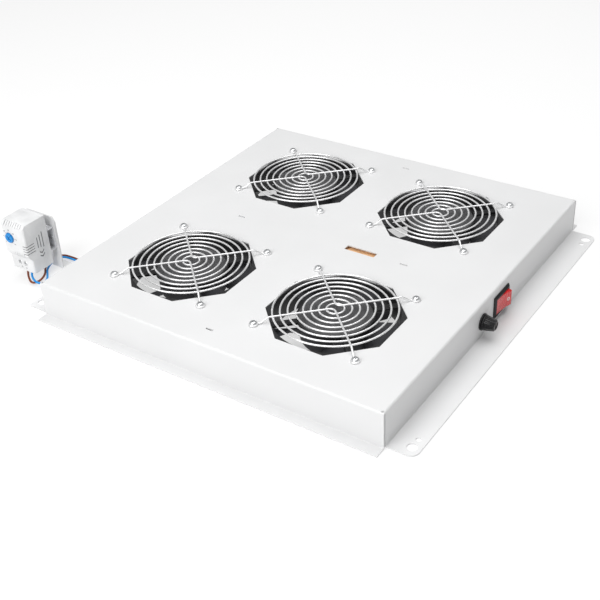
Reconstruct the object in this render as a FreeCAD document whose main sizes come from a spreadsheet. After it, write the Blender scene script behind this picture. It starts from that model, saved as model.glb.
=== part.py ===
import FreeCAD, Part
import math
import os

import Sketcher
from FreeCAD import Placement, Rotation, Vector

# Rack fan tray: a folded steel tray that carries four 120 mm axial fans under wire finger guards,
# a lit rocker switch and a fuse holder in its right wall, and a small thermostat on a rail bracket.
# Frame: +Z up, origin on the flange's underside at the centre of the four large flange holes,
# +X towards the wall with the switch, +Y towards the rear. Millimetres.

SIZES = {
    # folded tray
    "plate_width": 377.0, "plate_depth": 397.0, "tray_height": 37.0, "sheet": 1.2, "bend": 0.8,
    "land": 2.4, "slit": 0.3, "side_flange": 26.5, "end_flange": 11.0, "flange_round": 8.0, "flange_nick": 2.0,
    "bolt_pitch_x": 414.0, "bolt_pitch_y": 371.0, "bolt_hole": 4.75,
    "key_pitch_y": 350.0, "key_hole": 2.5, "relief_hole": 1.3, "relief_inset": 2.0,
    # openings in the top plate
    "fan_pitch_x": 164.4, "fan_pitch_y": 199.6, "opening_flats": 119.0,
    "slot_x": 47.5, "slot_y": 1.2, "slot_length": 33.0, "slot_width": 7.8,
    "vent_length": 8.0, "vent_width": 2.0, "vent_x": 95.5, "vent_y": 177.0,
    # axial fan
    "fan_square": 119.6, "fan_cut": 5.0, "fan_depth": 25.0, "tunnel": 57.6, "screw_pitch": 105.0,
    "fan_hole": 2.1, "base_radius": 35.5, "base_drop": 0.6, "base_thick": 3.0,
    "strut_width": 7.0, "tube_outer": 6.0, "tube_end": 19.2, "bush_outer": 4.0, "bush_bore": 1.61,
    "bush_top": 5.6, "bush_end": 19.0, "stator_radius": 27.0, "stator_bore": 6.1,
    "stator_top": 7.5, "stator_height": 11.0,
    # impeller
    "hub_radius": 33.0, "hub_wall": 1.6, "hub_top": 4.8, "hub_end": 24.0, "hub_floor": 2.0,
    "boss_radius": 4.0, "boss_height": 2.5, "shaft_radius": 1.5, "shaft_top": 4.2,
    "blade_count": 5, "blade_root": 31.6, "blade_tip": 56.4, "blade_reach": 60.0,
    "blade_top": 5.2, "blade_end": 23.8, "root_run": 18.0, "tip_run": 40.0,
    "root_camber": 2.6, "tip_camber": 3.6, "blade_thick": 1.3,
    # finger guard
    "wire": 1.7, "ring_first": 8.1, "ring_pitch": 6.9, "ring_count": 8, "ring_lift": 4.2,
    "spoke_apex": 2.0, "spoke_step_low": 66.5, "spoke_step_high": 61.5,
    "eyelet": 3.2,
    "screw_head": 3.9, "screw_head_high": 2.4, "screw_shank": 1.8, "screw_reach": 12.0,
    # rocker switch in the right wall
    "switch_y": 16.9, "switch_z": 17.2, "bezel_long": 30.5, "bezel_high": 22.5, "bezel_thick": 2.6,
    "case_long": 27.0, "case_high": 19.2, "case_deep": 18.0, "mouth_long": 26.2, "mouth_high": 17.2,
    "mouth_deep": 10.0, "rocker_gap": 0.45, "rocker_pivot": 2.5, "pin_radius": 1.5,
    "tab_wide": 6.3, "tab_thick": 0.8, "tab_long": 9.0,
    # fuse holder
    "fuse_y": -21.0, "fuse_z": 16.6, "fuse_flange": 8.2, "fuse_flange_thick": 1.6,
    "fuse_barrel": 6.0, "fuse_depth": 30.0, "fuse_bore": 4.6, "cap_base": 7.4, "cap_tip": 5.7,
    "cap_long": 11.5, "cap_stem": 4.1, "cap_stem_long": 9.0, "cap_flutes": 9,
    "link_radius": 2.6, "link_long": 18.0, "fuse_nut_flats": 17.0, "fuse_nut_thick": 4.0,
    # terminal board under the slot
    "board_long": 58.0, "board_wide": 24.0, "board_thick": 1.6, "board_top": 33.4,
    "stud_spacing": 48.0, "stud_radius": 1.5, "stud_collar": 2.8, "stud_long": 8.5,
    "block_long": 38.0, "block_wide": 16.0, "block_high": 13.0, "block_ways": 4,
    # thermostat and its bracket
    "thermo_x": -253.75, "thermo_front": -166.5, "thermo_back": -136.5, "thermo_low": 11.2,
    "thermo_wide": 31.5, "thermo_high": 56.0, "thermo_base": 4.0, "sill_low": 15.5,
    "sill_high": 21.5, "sill_back": 4.5, "brow": 3.0, "dial_x": -260.0, "dial_z": 49.7,
    "dial_radius": 5.2, "dial_proud": 1.6, "rail_middle": 37.5, "rail_wide": 35.0,
    "rail_deep": 7.5, "rail_base": 25.0, "rail_sheet": 1.0, "bracket_sheet": 1.5,
    "bracket_left": -273.0, "bracket_right": -234.0, "bracket_top": 60.0, "foot_left": -249.0,
    "foot_right": -192.0, "foot_deep": 11.0, "lead_gate": 13.0,
    # cable entries
    "lead_radius": 1.15, "entry_y": -112.0, "entry_z": 14.0, "grommet_bore": 3.0,
    "grommet_neck": 4.8, "grommet_rim": 6.6, "gland_x": 120.0, "gland_z": 17.0,
    "gland_bore": 3.6, "gland_neck": 6.0, "gland_flats": 17.0, "gland_proud": 9.5,
}

doc = FreeCAD.newDocument("rack_fan_tray")


class Size:
    """A length held as a number, with the sheet expression that gives it."""

    def __init__(self, value, text):
        self.value = float(value)
        self.text = text

    def __add__(self, other):
        other = as_size(other)
        return Size(self.value + other.value, f"({self.text} + {other.text})")

    def __sub__(self, other):
        other = as_size(other)
        return Size(self.value - other.value, f"({self.text} - {other.text})")

    def __mul__(self, other):
        other = as_size(other)
        return Size(self.value * other.value, f"({self.text} * {other.text})")

    def __truediv__(self, other):
        other = as_size(other)
        return Size(self.value / other.value, f"({self.text} / {other.text})")

    def __radd__(self, other):
        return as_size(other) + self

    def __rsub__(self, other):
        return as_size(other) - self

    def __rmul__(self, other):
        return as_size(other) * self

    def __neg__(self):
        return Size(-self.value, f"(0 - {self.text})")

    def __float__(self):
        return self.value


def as_size(number):
    """A Size as it is, or a plain number made into one."""
    if isinstance(number, Size):
        return number
    return Size(number, f"({number})" if number < 0 else f"{number}")


class SizeSheet:
    """The document's spreadsheet, with one row and one alias for each driving size."""

    def __init__(self, sizes):
        sheet = doc.addObject("Spreadsheet::Sheet", "Sizes")
        for row, (alias, value) in enumerate(sizes.items(), start=1):
            sheet.set(f"A{row}", alias)
            sheet.set(f"B{row}", str(value))
            sheet.setAlias(f"B{row}", alias)
            setattr(self, alias, Size(value, f"Sizes.{alias}"))


s = SizeSheet(SIZES)
doc.recompute()

parts = []


# ---------------------------------------------------------------- helpers


def bind(thing, prop, size):
    """Drive one property of an object by a size."""
    thing.setExpression(prop, as_size(size).text)


def place(thing, x=0.0, y=0.0, z=0.0):
    """Drive an object's position by sizes."""
    for axis, size in zip("xyz", (x, y, z)):
        if float(size) != 0.0:
            bind(thing, f"Placement.Base.{axis}", size)


def new_body(label, x=0.0, y=0.0, z=0.0, keep=True):
    """An empty PartDesign body, listed as a sub-part unless keep is False."""
    body = doc.addObject("PartDesign::Body", label)
    body.Label = label
    place(body, x, y, z)
    if keep:
        parts.append(body)
    return body


def origin_feature(body, role):
    """One of a body's own origin planes or axes."""
    return next(f for f in body.Origin.OriginFeatures if f.Role == role)


def outline(body, role, name, loops, lift=0.0):
    """A sketch of closed loops on an origin plane, every vertex and radius driven by a size.

    A loop is a list of (across, up) vertices, or ("circle", across, up, radius). A third value at
    a right-angled vertex is the radius of the bend there.
    """
    sketch = body.newObject("Sketcher::SketchObject", name)
    sketch.AttachmentSupport = [(origin_feature(body, role), "")]
    sketch.MapMode = "FlatFace"
    if float(lift) != 0.0:
        bind(sketch, "AttachmentOffset.Base.z", lift)
    for loop in loops:
        rules = circle_rules(sketch, *loop[1:]) if loop[0] == "circle" else loop_rules(sketch, loop)
        number = sketch.ConstraintCount
        sketch.addConstraint([rule for rule, size in rules])
        for offset, (rule, size) in enumerate(rules):
            if size is not None:
                bind(sketch, f"Constraints[{number + offset}]", size)
    return sketch


def circle_rules(sketch, across, up, radius):
    """Add a circle; return the constraints that hold its centre and radius, with their sizes."""
    first = sketch.GeometryCount
    centre = Vector(float(across), float(up), 0)
    sketch.addGeometry(Part.Circle(centre, Vector(0, 0, 1), float(radius)), False)
    rules = [(Sketcher.Constraint("Radius", first, float(radius)), radius)]
    return rules + point_rules(first, 3, across, up)


def loop_rules(sketch, loop):
    """Add a closed loop of lines and bends; return its constraints with their sizes."""
    corners = [Vector(float(v[0]), float(v[1]), 0) for v in loop]
    count = len(loop)
    stops = []
    for i, vertex in enumerate(loop):
        across, up = vertex[0], vertex[1]
        if len(vertex) == 2:
            stops.append((across, up, None))
            continue
        back = (corners[i - 1] - corners[i]).normalize()
        ahead = (corners[(i + 1) % count] - corners[i]).normalize()
        radius = as_size(vertex[2])
        stops.append((across + radius * round(back.x), up + radius * round(back.y),
                      (radius, corners[i] + (back + ahead) * float(radius))))
        stops.append((across + radius * round(ahead.x), up + radius * round(ahead.y), None))
    first = sketch.GeometryCount
    total = len(stops)
    points = [Vector(float(stop[0]), float(stop[1]), 0) for stop in stops]
    rules = []
    curves = []
    for i, (across, up, bend) in enumerate(stops):
        start, end = points[i], points[(i + 1) % total]
        if bend is None:
            curves.append(Part.LineSegment(start, end))
        else:
            radius, centre = bend
            outward = ((start + end) * 0.5 - centre).normalize()
            curves.append(Part.Arc(start, centre + outward * float(radius), end))
    sketch.addGeometry(curves, False)
    ends = []
    for i, (across, up, bend) in enumerate(stops):
        clockwise = bend and points[i].sub(bend[1]).cross(points[(i + 1) % total] - bend[1]).z < 0
        ends.append((2, 1) if clockwise else (1, 2))
    for i, (across, up, bend) in enumerate(stops):
        after = (i + 1) % total
        rules.append((Sketcher.Constraint("Coincident", first + i, ends[i][1],
                                          first + after, ends[after][0]), None))
        rules += point_rules(first + i, ends[i][0], across, up)
        if bend is not None:
            rules.append((Sketcher.Constraint("Radius", first + i, float(bend[0])), bend[0]))
    return rules


def point_rules(geometry, point, across, up):
    """Constraints, each with its driving size, that hold a point at (across, up)."""
    rules = []
    for kind, axis, size in (("DistanceX", -2, across), ("DistanceY", -1, up)):
        if abs(float(size)) < 1e-9:
            rules.append((Sketcher.Constraint("PointOnObject", geometry, point, axis), None))
        else:
            rule = Sketcher.Constraint(kind, -1, 1, geometry, point, float(size))
            rules.append((rule, size))
    return rules


def rectangle(wide, high, across=0.0, up=0.0):
    """Vertices of a rectangle about a centre."""
    across, up = as_size(across), as_size(up)
    return [(across - wide / 2, up - high / 2), (across + wide / 2, up - high / 2),
            (across + wide / 2, up + high / 2), (across - wide / 2, up + high / 2)]


def regular(sides, radius, across=0.0, up=0.0):
    """Vertices of a regular polygon with a flat side facing +X."""
    corners = []
    for i in range(sides):
        angle = math.pi * (2 * i + 1) / sides
        corners.append((across + radius * round(math.cos(angle), 6),
                        up + radius * round(math.sin(angle), 6)))
    return corners


def star(points, outer, inner):
    """Vertices of a fluted round, its crests and roots in turn."""
    corners = []
    for i in range(points * 2):
        radius = outer if i % 2 == 0 else inner
        angle = math.pi * i / points
        corners.append((radius * round(math.cos(angle), 6), radius * round(math.sin(angle), 6)))
    return corners


def step(body, sides, radius, start, end):
    """A disc or post between two heights, round or with a number of sides."""
    section = regular(sides, radius) if sides else ("circle", 0.0, 0.0, radius)
    pad(body, outline(body, "XY_Plane", "Step", [section], lift=start), end - start)


def copy_of(label, master, x=0.0, y=0.0, z=0.0, angle=0.0):
    """A sub-part that follows a master body, at its own place."""
    copy = doc.addObject("Part::Compound", label)
    copy.Label = label
    copy.Links = [master]
    place(copy, x, y, z)
    if angle:
        bind(copy, "Placement.Rotation.Angle", angle)
    parts.append(copy)
    return copy


def pad(body, sketch, length, symmetric=False, reverse=False):
    """Pad a sketch along its normal, against it, or both ways."""
    feature = body.newObject("PartDesign::Pad", "Pad")
    feature.Profile = sketch
    bind(feature, "Length", length)
    feature.SideType = "Symmetric" if symmetric else "One side"
    feature.Reversed = reverse
    body.Tip = feature
    return feature


def pocket(body, sketch, length, symmetric=False, reverse=False):
    """Cut a sketch out against its normal, along it, or both ways; it has to remove something."""
    doc.recompute()
    before = body.Shape.Volume
    feature = body.newObject("PartDesign::Pocket", "Pocket")
    feature.Profile = sketch
    bind(feature, "Length", length)
    feature.SideType = "Symmetric" if symmetric else "One side"
    feature.Reversed = reverse
    body.Tip = feature
    doc.recompute()
    if body.Shape.Volume > before - 1e-3:
        raise ValueError(f"{body.Label}: {sketch.Label} cuts nothing")
    return feature


def revolve(body, sketch, cut=False):
    """Revolve a sketch in the XZ plane about the body's Z axis, as a solid or as a groove."""
    kind = "PartDesign::Groove" if cut else "PartDesign::Revolution"
    feature = body.newObject(kind, "Groove" if cut else "Revolution")
    feature.Profile = sketch
    feature.ReferenceAxis = (origin_feature(body, "Z_Axis"), [""])
    feature.Angle = 360
    body.Tip = feature
    return feature


def polar(body, features, count):
    """Repeat features about the body's Z axis."""
    pattern = body.newObject("PartDesign::PolarPattern", "PolarPattern")
    pattern.Originals = features
    pattern.Axis = (origin_feature(body, "Z_Axis"), [""])
    pattern.Angle = 360
    bind(pattern, "Occurrences", count)
    body.Tip = pattern
    return pattern


def mirror(body, features, role):
    """Repeat features on the other side of an origin plane."""
    copy = body.newObject("PartDesign::Mirrored", "Mirrored")
    copy.Originals = features
    copy.MirrorPlane = (origin_feature(body, role), [""])
    body.Tip = copy
    return copy


def edges_at(body, direction, **near):
    """Names of the straight edges along a direction, or any, with their middle as given."""
    names = []
    for i, edge in enumerate(body.Tip.Shape.Edges, start=1):
        if edge.Curve.TypeId != "Part::GeomLine":
            continue
        if direction and abs(edge.tangentAt(edge.FirstParameter).dot(direction)) < 0.999:
            continue
        middle = edge.CenterOfMass
        if all(abs(abs(getattr(middle, axis)) - abs(float(value))) < 0.02
               for axis, value in near.items()):
            names.append(f"Edge{i}")
    return names


def ease(body, kind, radius, names):
    """Fillet or chamfer some edges of the body's last feature."""
    if not names:
        raise ValueError(f"{body.Label}: no edge found to {kind.lower()}")
    base = body.Tip
    feature = body.newObject(f"PartDesign::{kind}", kind)
    feature.Base = (base, names)
    bind(feature, "Radius" if kind == "Fillet" else "Size", radius)
    body.Tip = feature
    doc.recompute()
    return feature


def solid_part(label, shape, x=0.0, y=0.0, z=0.0):
    """A sub-part whose shape is made by a function; its sizes come from the sheet."""
    feature = doc.addObject("Part::Feature", label)
    feature.Label = label
    feature.Shape = shape
    feature.Placement = Placement(Vector(float(x), float(y), float(z)), Rotation())
    parts.append(feature)
    return feature


def scattered(label, master, places):
    """One sub-part that holds a copy of a master solid at each placement."""
    doc.recompute()
    copies = []
    for spot in places:
        copy = master.Shape.copy()
        copy.Placement = spot.multiply(copy.Placement)
        copies.append(copy)
    return solid_part(label, Part.makeCompound(copies))


def moved(x=0.0, y=0.0, z=0.0, axis=Vector(0, 0, 1), angle=0.0):
    """A placement with plain numbers from sizes."""
    return Placement(Vector(float(x), float(y), float(z)), Rotation(axis, angle))


def strip_prism(points, wide, up=Vector(0, 0, 1), closed=False):
    """A bar of square section along straight runs, with mitred corners."""
    half = float(wide) / 2
    path = Part.makePolygon(points + points[:1] if closed else points)
    along = (points[1] - points[0]).normalize()
    if closed:
        along = (points[1] - points[-1]).normalize()
    side = along.cross(up).normalize()
    lift = side.cross(along).normalize()
    start = points[0]
    corners = [start + side * a * half + lift * b * half
               for a, b in ((1, 1), (-1, 1), (-1, -1), (1, -1), (1, 1))]
    return path.makePipeShell([Part.makePolygon(corners)], True, False, 1)


def bend_radius(before, corner, after):
    """The largest smooth bend at a corner of a lead: 0.45 of the shorter run over tan(half turn)."""
    first, second = corner - before, after - corner
    turn = first.getAngle(second)
    return 0.45 * min(first.Length, second.Length) / math.tan(turn / 2)


def tube(label, points, radius):
    """A lead of square section, straight runs joined by tangent arcs; its volume is checked."""
    edges = []
    start = points[0]
    bends = []
    for before, corner, after in zip(points, points[1:], points[2:]):
        first, second = (corner - before).normalize(), (after - corner).normalize()
        turn = first.getAngle(second)
        bend = bend_radius(before, corner, after)
        bends.append(bend)
        reach = bend * math.tan(turn / 2)
        inward = (second - first).normalize()
        middle = corner + inward * (bend / math.cos(turn / 2) - bend)
        edges.append(Part.LineSegment(start, corner - first * reach).toShape())
        edges.append(Part.Arc(corner - first * reach, middle, corner + second * reach).toShape())
        start = corner + second * reach
    edges.append(Part.LineSegment(start, points[-1]).toShape())
    path = Part.Wire(edges)
    along = (points[1] - points[0]).normalize()
    side = along.cross(Vector(0, 0, 1))
    side = (side if side.Length > 0.1 else Vector(1, 0, 0)).normalize() * (float(radius) * 0.7071)
    rise = side.cross(along)
    corners = [points[0] + side * a + rise * b for a, b in ((1, 1), (-1, 1), (-1, -1), (1, -1), (1, 1))]
    lead = path.makePipeShell([Part.makePolygon(corners)], True, False)
    wanted = 2.0 * float(radius) ** 2 * path.Length
    if abs(lead.Volume / wanted - 1) > 0.01:
        raise ValueError(f"{label}: the lead's volume is {lead.Volume:.1f}, not {wanted:.1f}")
    print(f"{label}: length {path.Length:.0f} mm, tightest bend {min(bends):.1f} mm")
    return lead


# ---------------------------------------------------------------- the folded tray

half_width = s.plate_width / 2
half_depth = s.plate_depth / 2
under_plate = s.tray_height - s.sheet
outer_bend = s.bend + s.sheet
FAN_SPOTS = [(-1, 1), (1, 1), (-1, -1), (1, -1)]


def fan_centre(side, end):
    """A fan's axis in the plate."""
    return s.fan_pitch_x * side / 2, s.fan_pitch_y * end / 2


def fold_profile(face, flange):
    """Section of a wall with the plate's edge at its top and a flange at its foot."""
    inner = face - s.sheet
    return [(face - s.land, s.tray_height), (face, s.tray_height, outer_bend),
            (face, s.sheet, s.bend), (face + flange, s.sheet), (face + flange, 0.0),
            (inner, 0.0, outer_bend), (inner, under_plate, s.bend), (face - s.land, under_plate)]


def octagon(flats, across, up):
    """A regular octagon with sides parallel to the axes."""
    return regular(8, flats / 2 / round(math.cos(math.pi / 8), 6), across, up)


def tray_shell():
    """One folded sheet: plate, four walls and four flanges, with slits left at the corners."""
    tray = new_body("tray_shell")
    flat = rectangle(s.plate_width - s.land * 2, s.plate_depth - s.land * 2)
    pad(tray, outline(tray, "XY_Plane", "Plate", [flat], lift=under_plate), s.sheet)
    ends = outline(tray, "YZ_Plane", "EndFold", [fold_profile(half_depth, s.end_flange)])
    mirror(tray, [pad(tray, ends, s.plate_width, symmetric=True)], "XZ_Plane")
    sides = outline(tray, "XZ_Plane", "SideFold", [fold_profile(half_width, s.side_flange)])
    mirror(tray, [pad(tray, sides, s.plate_depth - (s.land + s.slit) * 2, symmetric=True)], "YZ_Plane")
    doc.recompute()
    rim = half_width + s.side_flange
    for sign, radius in ((1, s.flange_round), (-1, s.flange_nick)):
        corners = [name for name in edges_at(tray, Vector(0, 0, 1), x=rim)
                   if tray.Tip.Shape.getElement(name).CenterOfMass.x * sign > 0]
        ease(tray, "Fillet", radius, corners)
    for name, loops in plate_openings().items():
        pocket(tray, outline(tray, "XY_Plane", name, loops, lift=s.tray_height), s.sheet + 1.0)
    pocket(tray, outline(tray, "XY_Plane", "FlangeHoles", flange_holes(), lift=s.sheet),
           s.sheet)
    wall_holes(tray)
    return tray


def plate_openings():
    """Fan openings, guard screw holes, the slot, four narrow vents and the corner reliefs."""
    openings = {"FanOpenings": [], "Reliefs": []}
    for number, (side, end) in enumerate(FAN_SPOTS, start=1):
        x, y = fan_centre(side, end)
        openings["FanOpenings"].append(octagon(s.opening_flats, x, y))
        openings["Reliefs"].append(regular(6, s.relief_hole, (half_width - s.relief_inset) * side,
                                           (half_depth - s.relief_inset) * end))
        openings[f"GuardScrewHoles{number}"] = [
            regular(6, s.fan_hole, x + s.screw_pitch * u / 2, y + s.screw_pitch * v / 2)
            for u in (-1, 1) for v in (-1, 1)]
    vents = [(s.vent_x, 0.0), (-s.vent_x, 0.0), (0.0, s.vent_y), (0.0, -s.vent_y)]
    openings["Slots"] = [rectangle(s.slot_length, s.slot_width, s.slot_x, s.slot_y)]
    openings["Slots"] += [rectangle(s.vent_length, s.vent_width, x, y) for x, y in vents]
    return openings


def flange_holes():
    """Four large fixing holes, four small keying holes and the bracket's two tapped holes."""
    loops = []
    for side, end in FAN_SPOTS:
        x = s.bolt_pitch_x * side / 2
        loops.append(("circle", x, s.bolt_pitch_y * end / 2, s.bolt_hole))
        loops.append(("circle", x, s.key_pitch_y * end / 2, s.key_hole))
    for x, y in bracket_screw_spots():
        loops.append(regular(8, 1.6, x, y))
    return loops


def wall_holes(tray):
    """Cut-outs for the switch and fuse holder, the lead grommet and the cable gland."""
    right = outline(tray, "YZ_Plane", "RightWallHoles", [
        rectangle(s.case_long + 0.3, s.case_high + 0.3, s.switch_y, s.switch_z),
        regular(16, s.fuse_barrel + 0.2, s.fuse_y, s.fuse_z)], lift=half_width)
    pocket(tray, right, s.sheet * 2)
    left = outline(tray, "YZ_Plane", "LeftWallHole",
                   [regular(16, s.grommet_neck + 0.1, s.entry_y, s.entry_z)], lift=-half_width)
    pocket(tray, left, s.sheet * 2, reverse=True)
    rear = outline(tray, "XZ_Plane", "RearWallHole",
                   [regular(16, s.gland_neck + 0.2, s.gland_x, s.gland_z)], lift=-half_depth)
    pocket(tray, rear, s.sheet * 2, reverse=True)


def bracket_screw_spots():
    """Where the thermostat bracket's foot is screwed to the left flange."""
    foot_middle = s.thermo_back + s.rail_deep + s.foot_deep / 2
    return [(s.foot_right - 6.0, foot_middle), (s.foot_right - 17.0, foot_middle)]


# ---------------------------------------------------------------- the fans


def fan_frame():
    """Square housing with a round tunnel, four struts, the motor base and its bearing tube."""
    frame = new_body("fan_frame_master", keep=False)
    half, cut = s.fan_square / 2, s.fan_cut
    square = [(half, cut - half), (half, half - cut), (half - cut, half), (cut - half, half),
              (-half, half - cut), (-half, cut - half), (cut - half, -half), (half - cut, -half)]
    pad(frame, outline(frame, "XY_Plane", "Housing", [square], lift=-s.fan_depth), s.fan_depth)
    holes = [regular(36, s.tunnel)]
    for u in (-1, 1):
        for v in (-1, 1):
            holes.append(regular(6, s.fan_hole, s.screw_pitch * u / 2, s.screw_pitch * v / 2))
    pocket(frame, outline(frame, "XY_Plane", "Tunnel", holes), s.fan_depth)
    floor = -s.base_drop - s.base_thick
    step(frame, 32, s.base_radius, floor, -s.base_drop)
    wide, reach, inner = s.strut_width / 2, s.tunnel + 1.0, s.base_radius - 2.0
    leg = 0.707107
    strut = [((inner - wide) * leg, (inner + wide) * leg), ((inner + wide) * leg, (inner - wide) * leg),
             ((reach + wide) * leg, (reach - wide) * leg), ((reach - wide) * leg, (reach + wide) * leg)]
    arm = pad(frame, outline(frame, "XY_Plane", "Strut", [strut], lift=floor), s.base_thick)
    polar(frame, [arm], 4)
    ring = [regular(12, s.tube_outer), regular(12, s.bush_outer)]
    pad(frame, outline(frame, "XY_Plane", "BearingTube", ring, lift=floor),
        s.tube_end - s.base_drop - s.base_thick, reverse=True)
    return frame


def blade_section(radius, share):
    """Cambered section of a blade, flatter and longer the further out it stands."""
    run = float(s.root_run) + float(s.tip_run - s.root_run) * share
    camber = float(s.root_camber) + float(s.tip_camber - s.root_camber) * share
    top, bottom, thick = -float(s.blade_top), -float(s.blade_end), float(s.blade_thick)
    pressure, suction = [], []
    for station, bow in ((0.0, 0.0), (0.45, 1.0), (1.0, 0.0)):
        across = run * (station - 0.5) - camber * bow * 0.7
        up = bottom + (top - bottom) * station + camber * bow
        suction.append(Vector(radius, across, up))
        pressure.append(Vector(radius, across + thick * 0.8, up - thick * 0.6))
    return suction + pressure[::-1]


def blade_solid():
    """One twisted blade: a skin of flat facets over three sections, closed at both ends."""
    root, tip = float(s.blade_root), float(s.blade_reach)
    sections = [blade_section(root + (tip - root) * share, share) for share in (0.0, 0.45, 1.0)]
    faces = [Part.Face(Part.makePolygon(ends + ends[:1])) for ends in (sections[0], sections[-1])]
    for near, far in zip(sections, sections[1:]):
        for i in range(len(near)):
            j = (i + 1) % len(near)
            faces.append(Part.Face(Part.makePolygon([near[i], near[j], far[j], near[i]])))
            faces.append(Part.Face(Part.makePolygon([near[i], far[j], far[i], near[i]])))
    shell = Part.makeShell(faces)
    shell.sewShape()
    blade = Part.makeSolid(shell)
    if blade.Volume < 0:
        blade.reverse()
    return blade


def rotor_shape():
    """Hub cup, open towards the motor base, fused with twisted blades trimmed to the tunnel."""
    cup = new_body("hub_cup_master", keep=False)
    floor = -s.hub_end + s.hub_floor
    step(cup, 25, s.hub_radius, -s.hub_end, -s.hub_top)
    pocket(cup, outline(cup, "XY_Plane", "Hollow", [regular(25, s.hub_radius - s.hub_wall)],
                        lift=-s.hub_top), s.hub_end - s.hub_top - s.hub_floor)
    step(cup, 12, s.boss_radius, floor - 0.5, floor + s.boss_height)
    grip = regular(12, s.shaft_radius / round(math.cos(math.pi / 12), 6))
    pocket(cup, outline(cup, "XY_Plane", "ShaftHole", [grip],
                        lift=floor + s.boss_height), s.boss_height + s.hub_floor)
    rim = [Vector(float(s.blade_tip), 0, -50.0)]
    for i in range(25):
        spot = Vector(float(s.blade_tip), 0, -50.0)
        rim.append(Rotation(Vector(0, 0, 1), 14.4 * (i + 1)).multVec(spot))
    sweep = Part.Face(Part.makePolygon(rim[:-1] + rim[:1])).extrude(Vector(0, 0, 60.0))
    blade = blade_solid().common(sweep)
    doc.recompute()
    count = int(s.blade_count.value)
    blades = []
    for i in range(count):
        copy = blade.copy()
        copy.rotate(Vector(0, 0, 0), Vector(0, 0, 1), 360.0 * i / count)
        blades.append(copy)
    return cup.Shape.multiFuse(blades)


def polygon_rod(label, x, y, z, outer, length, bore=None):
    """A round rod, or a twelve-sided bush with a round bore, standing on z."""
    rod = new_body(label, x, y, z)
    loops = [("circle", 0.0, 0.0, outer)]
    if bore is not None:
        loops = [regular(12, outer), ("circle", 0.0, 0.0, bore)]
    pad(rod, outline(rod, "XY_Plane", "Section", loops), length)
    return rod


def fans():
    """Four fans under the plate, each rotor stopped at its own angle."""
    stator = new_body("stator_master", keep=False)
    stack = [regular(8, s.stator_radius), regular(12, s.stator_bore)]
    pad(stator, outline(stator, "XY_Plane", "Stack", stack), s.stator_height)
    stator_spots = []
    impeller = rotor_shape()
    housing = fan_frame()
    for number, ((side, end), turned) in enumerate(zip(FAN_SPOTS, (10, 24, 38, 5)), start=1):
        x, y = fan_centre(side, end)
        copy_of(f"fan_frame_{number}", housing, x, y, under_plate)
        rotor = solid_part(f"fan_rotor_{number}", impeller.copy())
        rotor.Placement = moved(x, y, under_plate, angle=turned)
        shaft = polygon_rod(f"fan_shaft_{number}", x, y, under_plate - s.hub_end,
                            s.shaft_radius, s.hub_end - s.shaft_top)
        bind(shaft, "Placement.Rotation.Angle", turned)
        polygon_rod(f"fan_bush_{number}", x, y, under_plate - s.bush_end, s.bush_outer,
                    s.bush_end - s.bush_top, s.bush_bore)
        stator_spots.append(moved(x, y, under_plate - s.stator_top - s.stator_height))
    scattered("fan_stators", stator, stator_spots)


# ---------------------------------------------------------------- finger guards


def hollow_prism(centre, sides, radius, turn=0.0):
    """A ring of square wire with flat sides, standing on its centre's level."""
    faces = []
    for reach in (radius + float(s.wire) / 2, radius - float(s.wire) / 2):
        corner = reach / math.cos(math.pi / sides)
        points = [centre + Vector(corner * math.cos(turn + math.pi * (2 * i + 1) / sides),
                                  corner * math.sin(turn + math.pi * (2 * i + 1) / sides), 0)
                  for i in range(sides + 1)]
        faces.append(Part.Face(Part.makePolygon(points)))
    return faces[0].cut(faces[1]).extrude(Vector(0, 0, float(s.wire)))


def guard_spoke(first, second):
    """One V-shaped wire: up from a lug, along a diagonal, round the middle and down to a lug."""
    low = float(s.wire) / 2
    high = float(s.ring_lift + s.wire)
    start = float(s.screw_pitch) / math.sqrt(2) - float(s.eyelet) - low
    apex = Vector(first.x + second.x, first.y + second.y, 0).normalize() * float(s.spoke_apex)

    def along(unit, distance, level):
        return Vector(unit.x * distance, unit.y * distance, level)

    points = [along(first, start, low), along(first, float(s.spoke_step_low), low),
              along(first, float(s.spoke_step_high), high), apex + Vector(0, 0, high),
              along(second, float(s.spoke_step_high), high),
              along(second, float(s.spoke_step_low), low), along(second, start, low)]
    return strip_prism(points, s.wire)


def finger_guards():
    """Eight rings under two V-shaped spoke wires, whose ends step down to eyes on the plate."""
    diagonal = [Vector(math.cos(angle), math.sin(angle), 0)
                for angle in (math.radians(45 + 90 * i) for i in range(4))]
    lug = float(s.screw_pitch) / math.sqrt(2)
    pieces = []
    for i in range(int(s.ring_count.value)):
        centre = Vector(0, 0, float(s.ring_lift - s.wire / 2))
        pieces.append(hollow_prism(centre, 8 + 2 * (i // 2), float(s.ring_first + s.ring_pitch * i)))
    pieces += [guard_spoke(diagonal[2], diagonal[3]), guard_spoke(diagonal[1], diagonal[0])]
    pieces += [hollow_prism(unit * lug, 6, float(s.eyelet), math.pi / 4 + math.pi / 2 * i + math.pi / 6)
               for i, unit in enumerate(diagonal)]
    guard = Part.makeCompound(pieces)
    for number, (side, end) in enumerate(FAN_SPOTS, start=1):
        x, y = fan_centre(side, end)
        solid_part(f"finger_guard_{number}", guard.copy(), x, y, s.tray_height)


def guard_screws():
    """Sixteen self-tapping screws through the eyes and the plate into the fan housings."""
    screw = new_body("guard_screw_master", keep=False)
    pad(screw, outline(screw, "XY_Plane", "Head", [regular(8, s.screw_head)], lift=s.wire),
        s.screw_head_high)
    pad(screw, outline(screw, "XY_Plane", "Shank", [regular(6, s.screw_shank)], lift=s.wire),
        s.screw_reach + s.wire, reverse=True)
    spots = []
    for side, end in FAN_SPOTS:
        x, y = fan_centre(side, end)
        for u in (-1, 1):
            for v in (-1, 1):
                spots.append(moved(x + s.screw_pitch * u / 2, y + s.screw_pitch * v / 2,
                                   s.tray_height))
    scattered("guard_screws", screw, spots)


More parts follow.
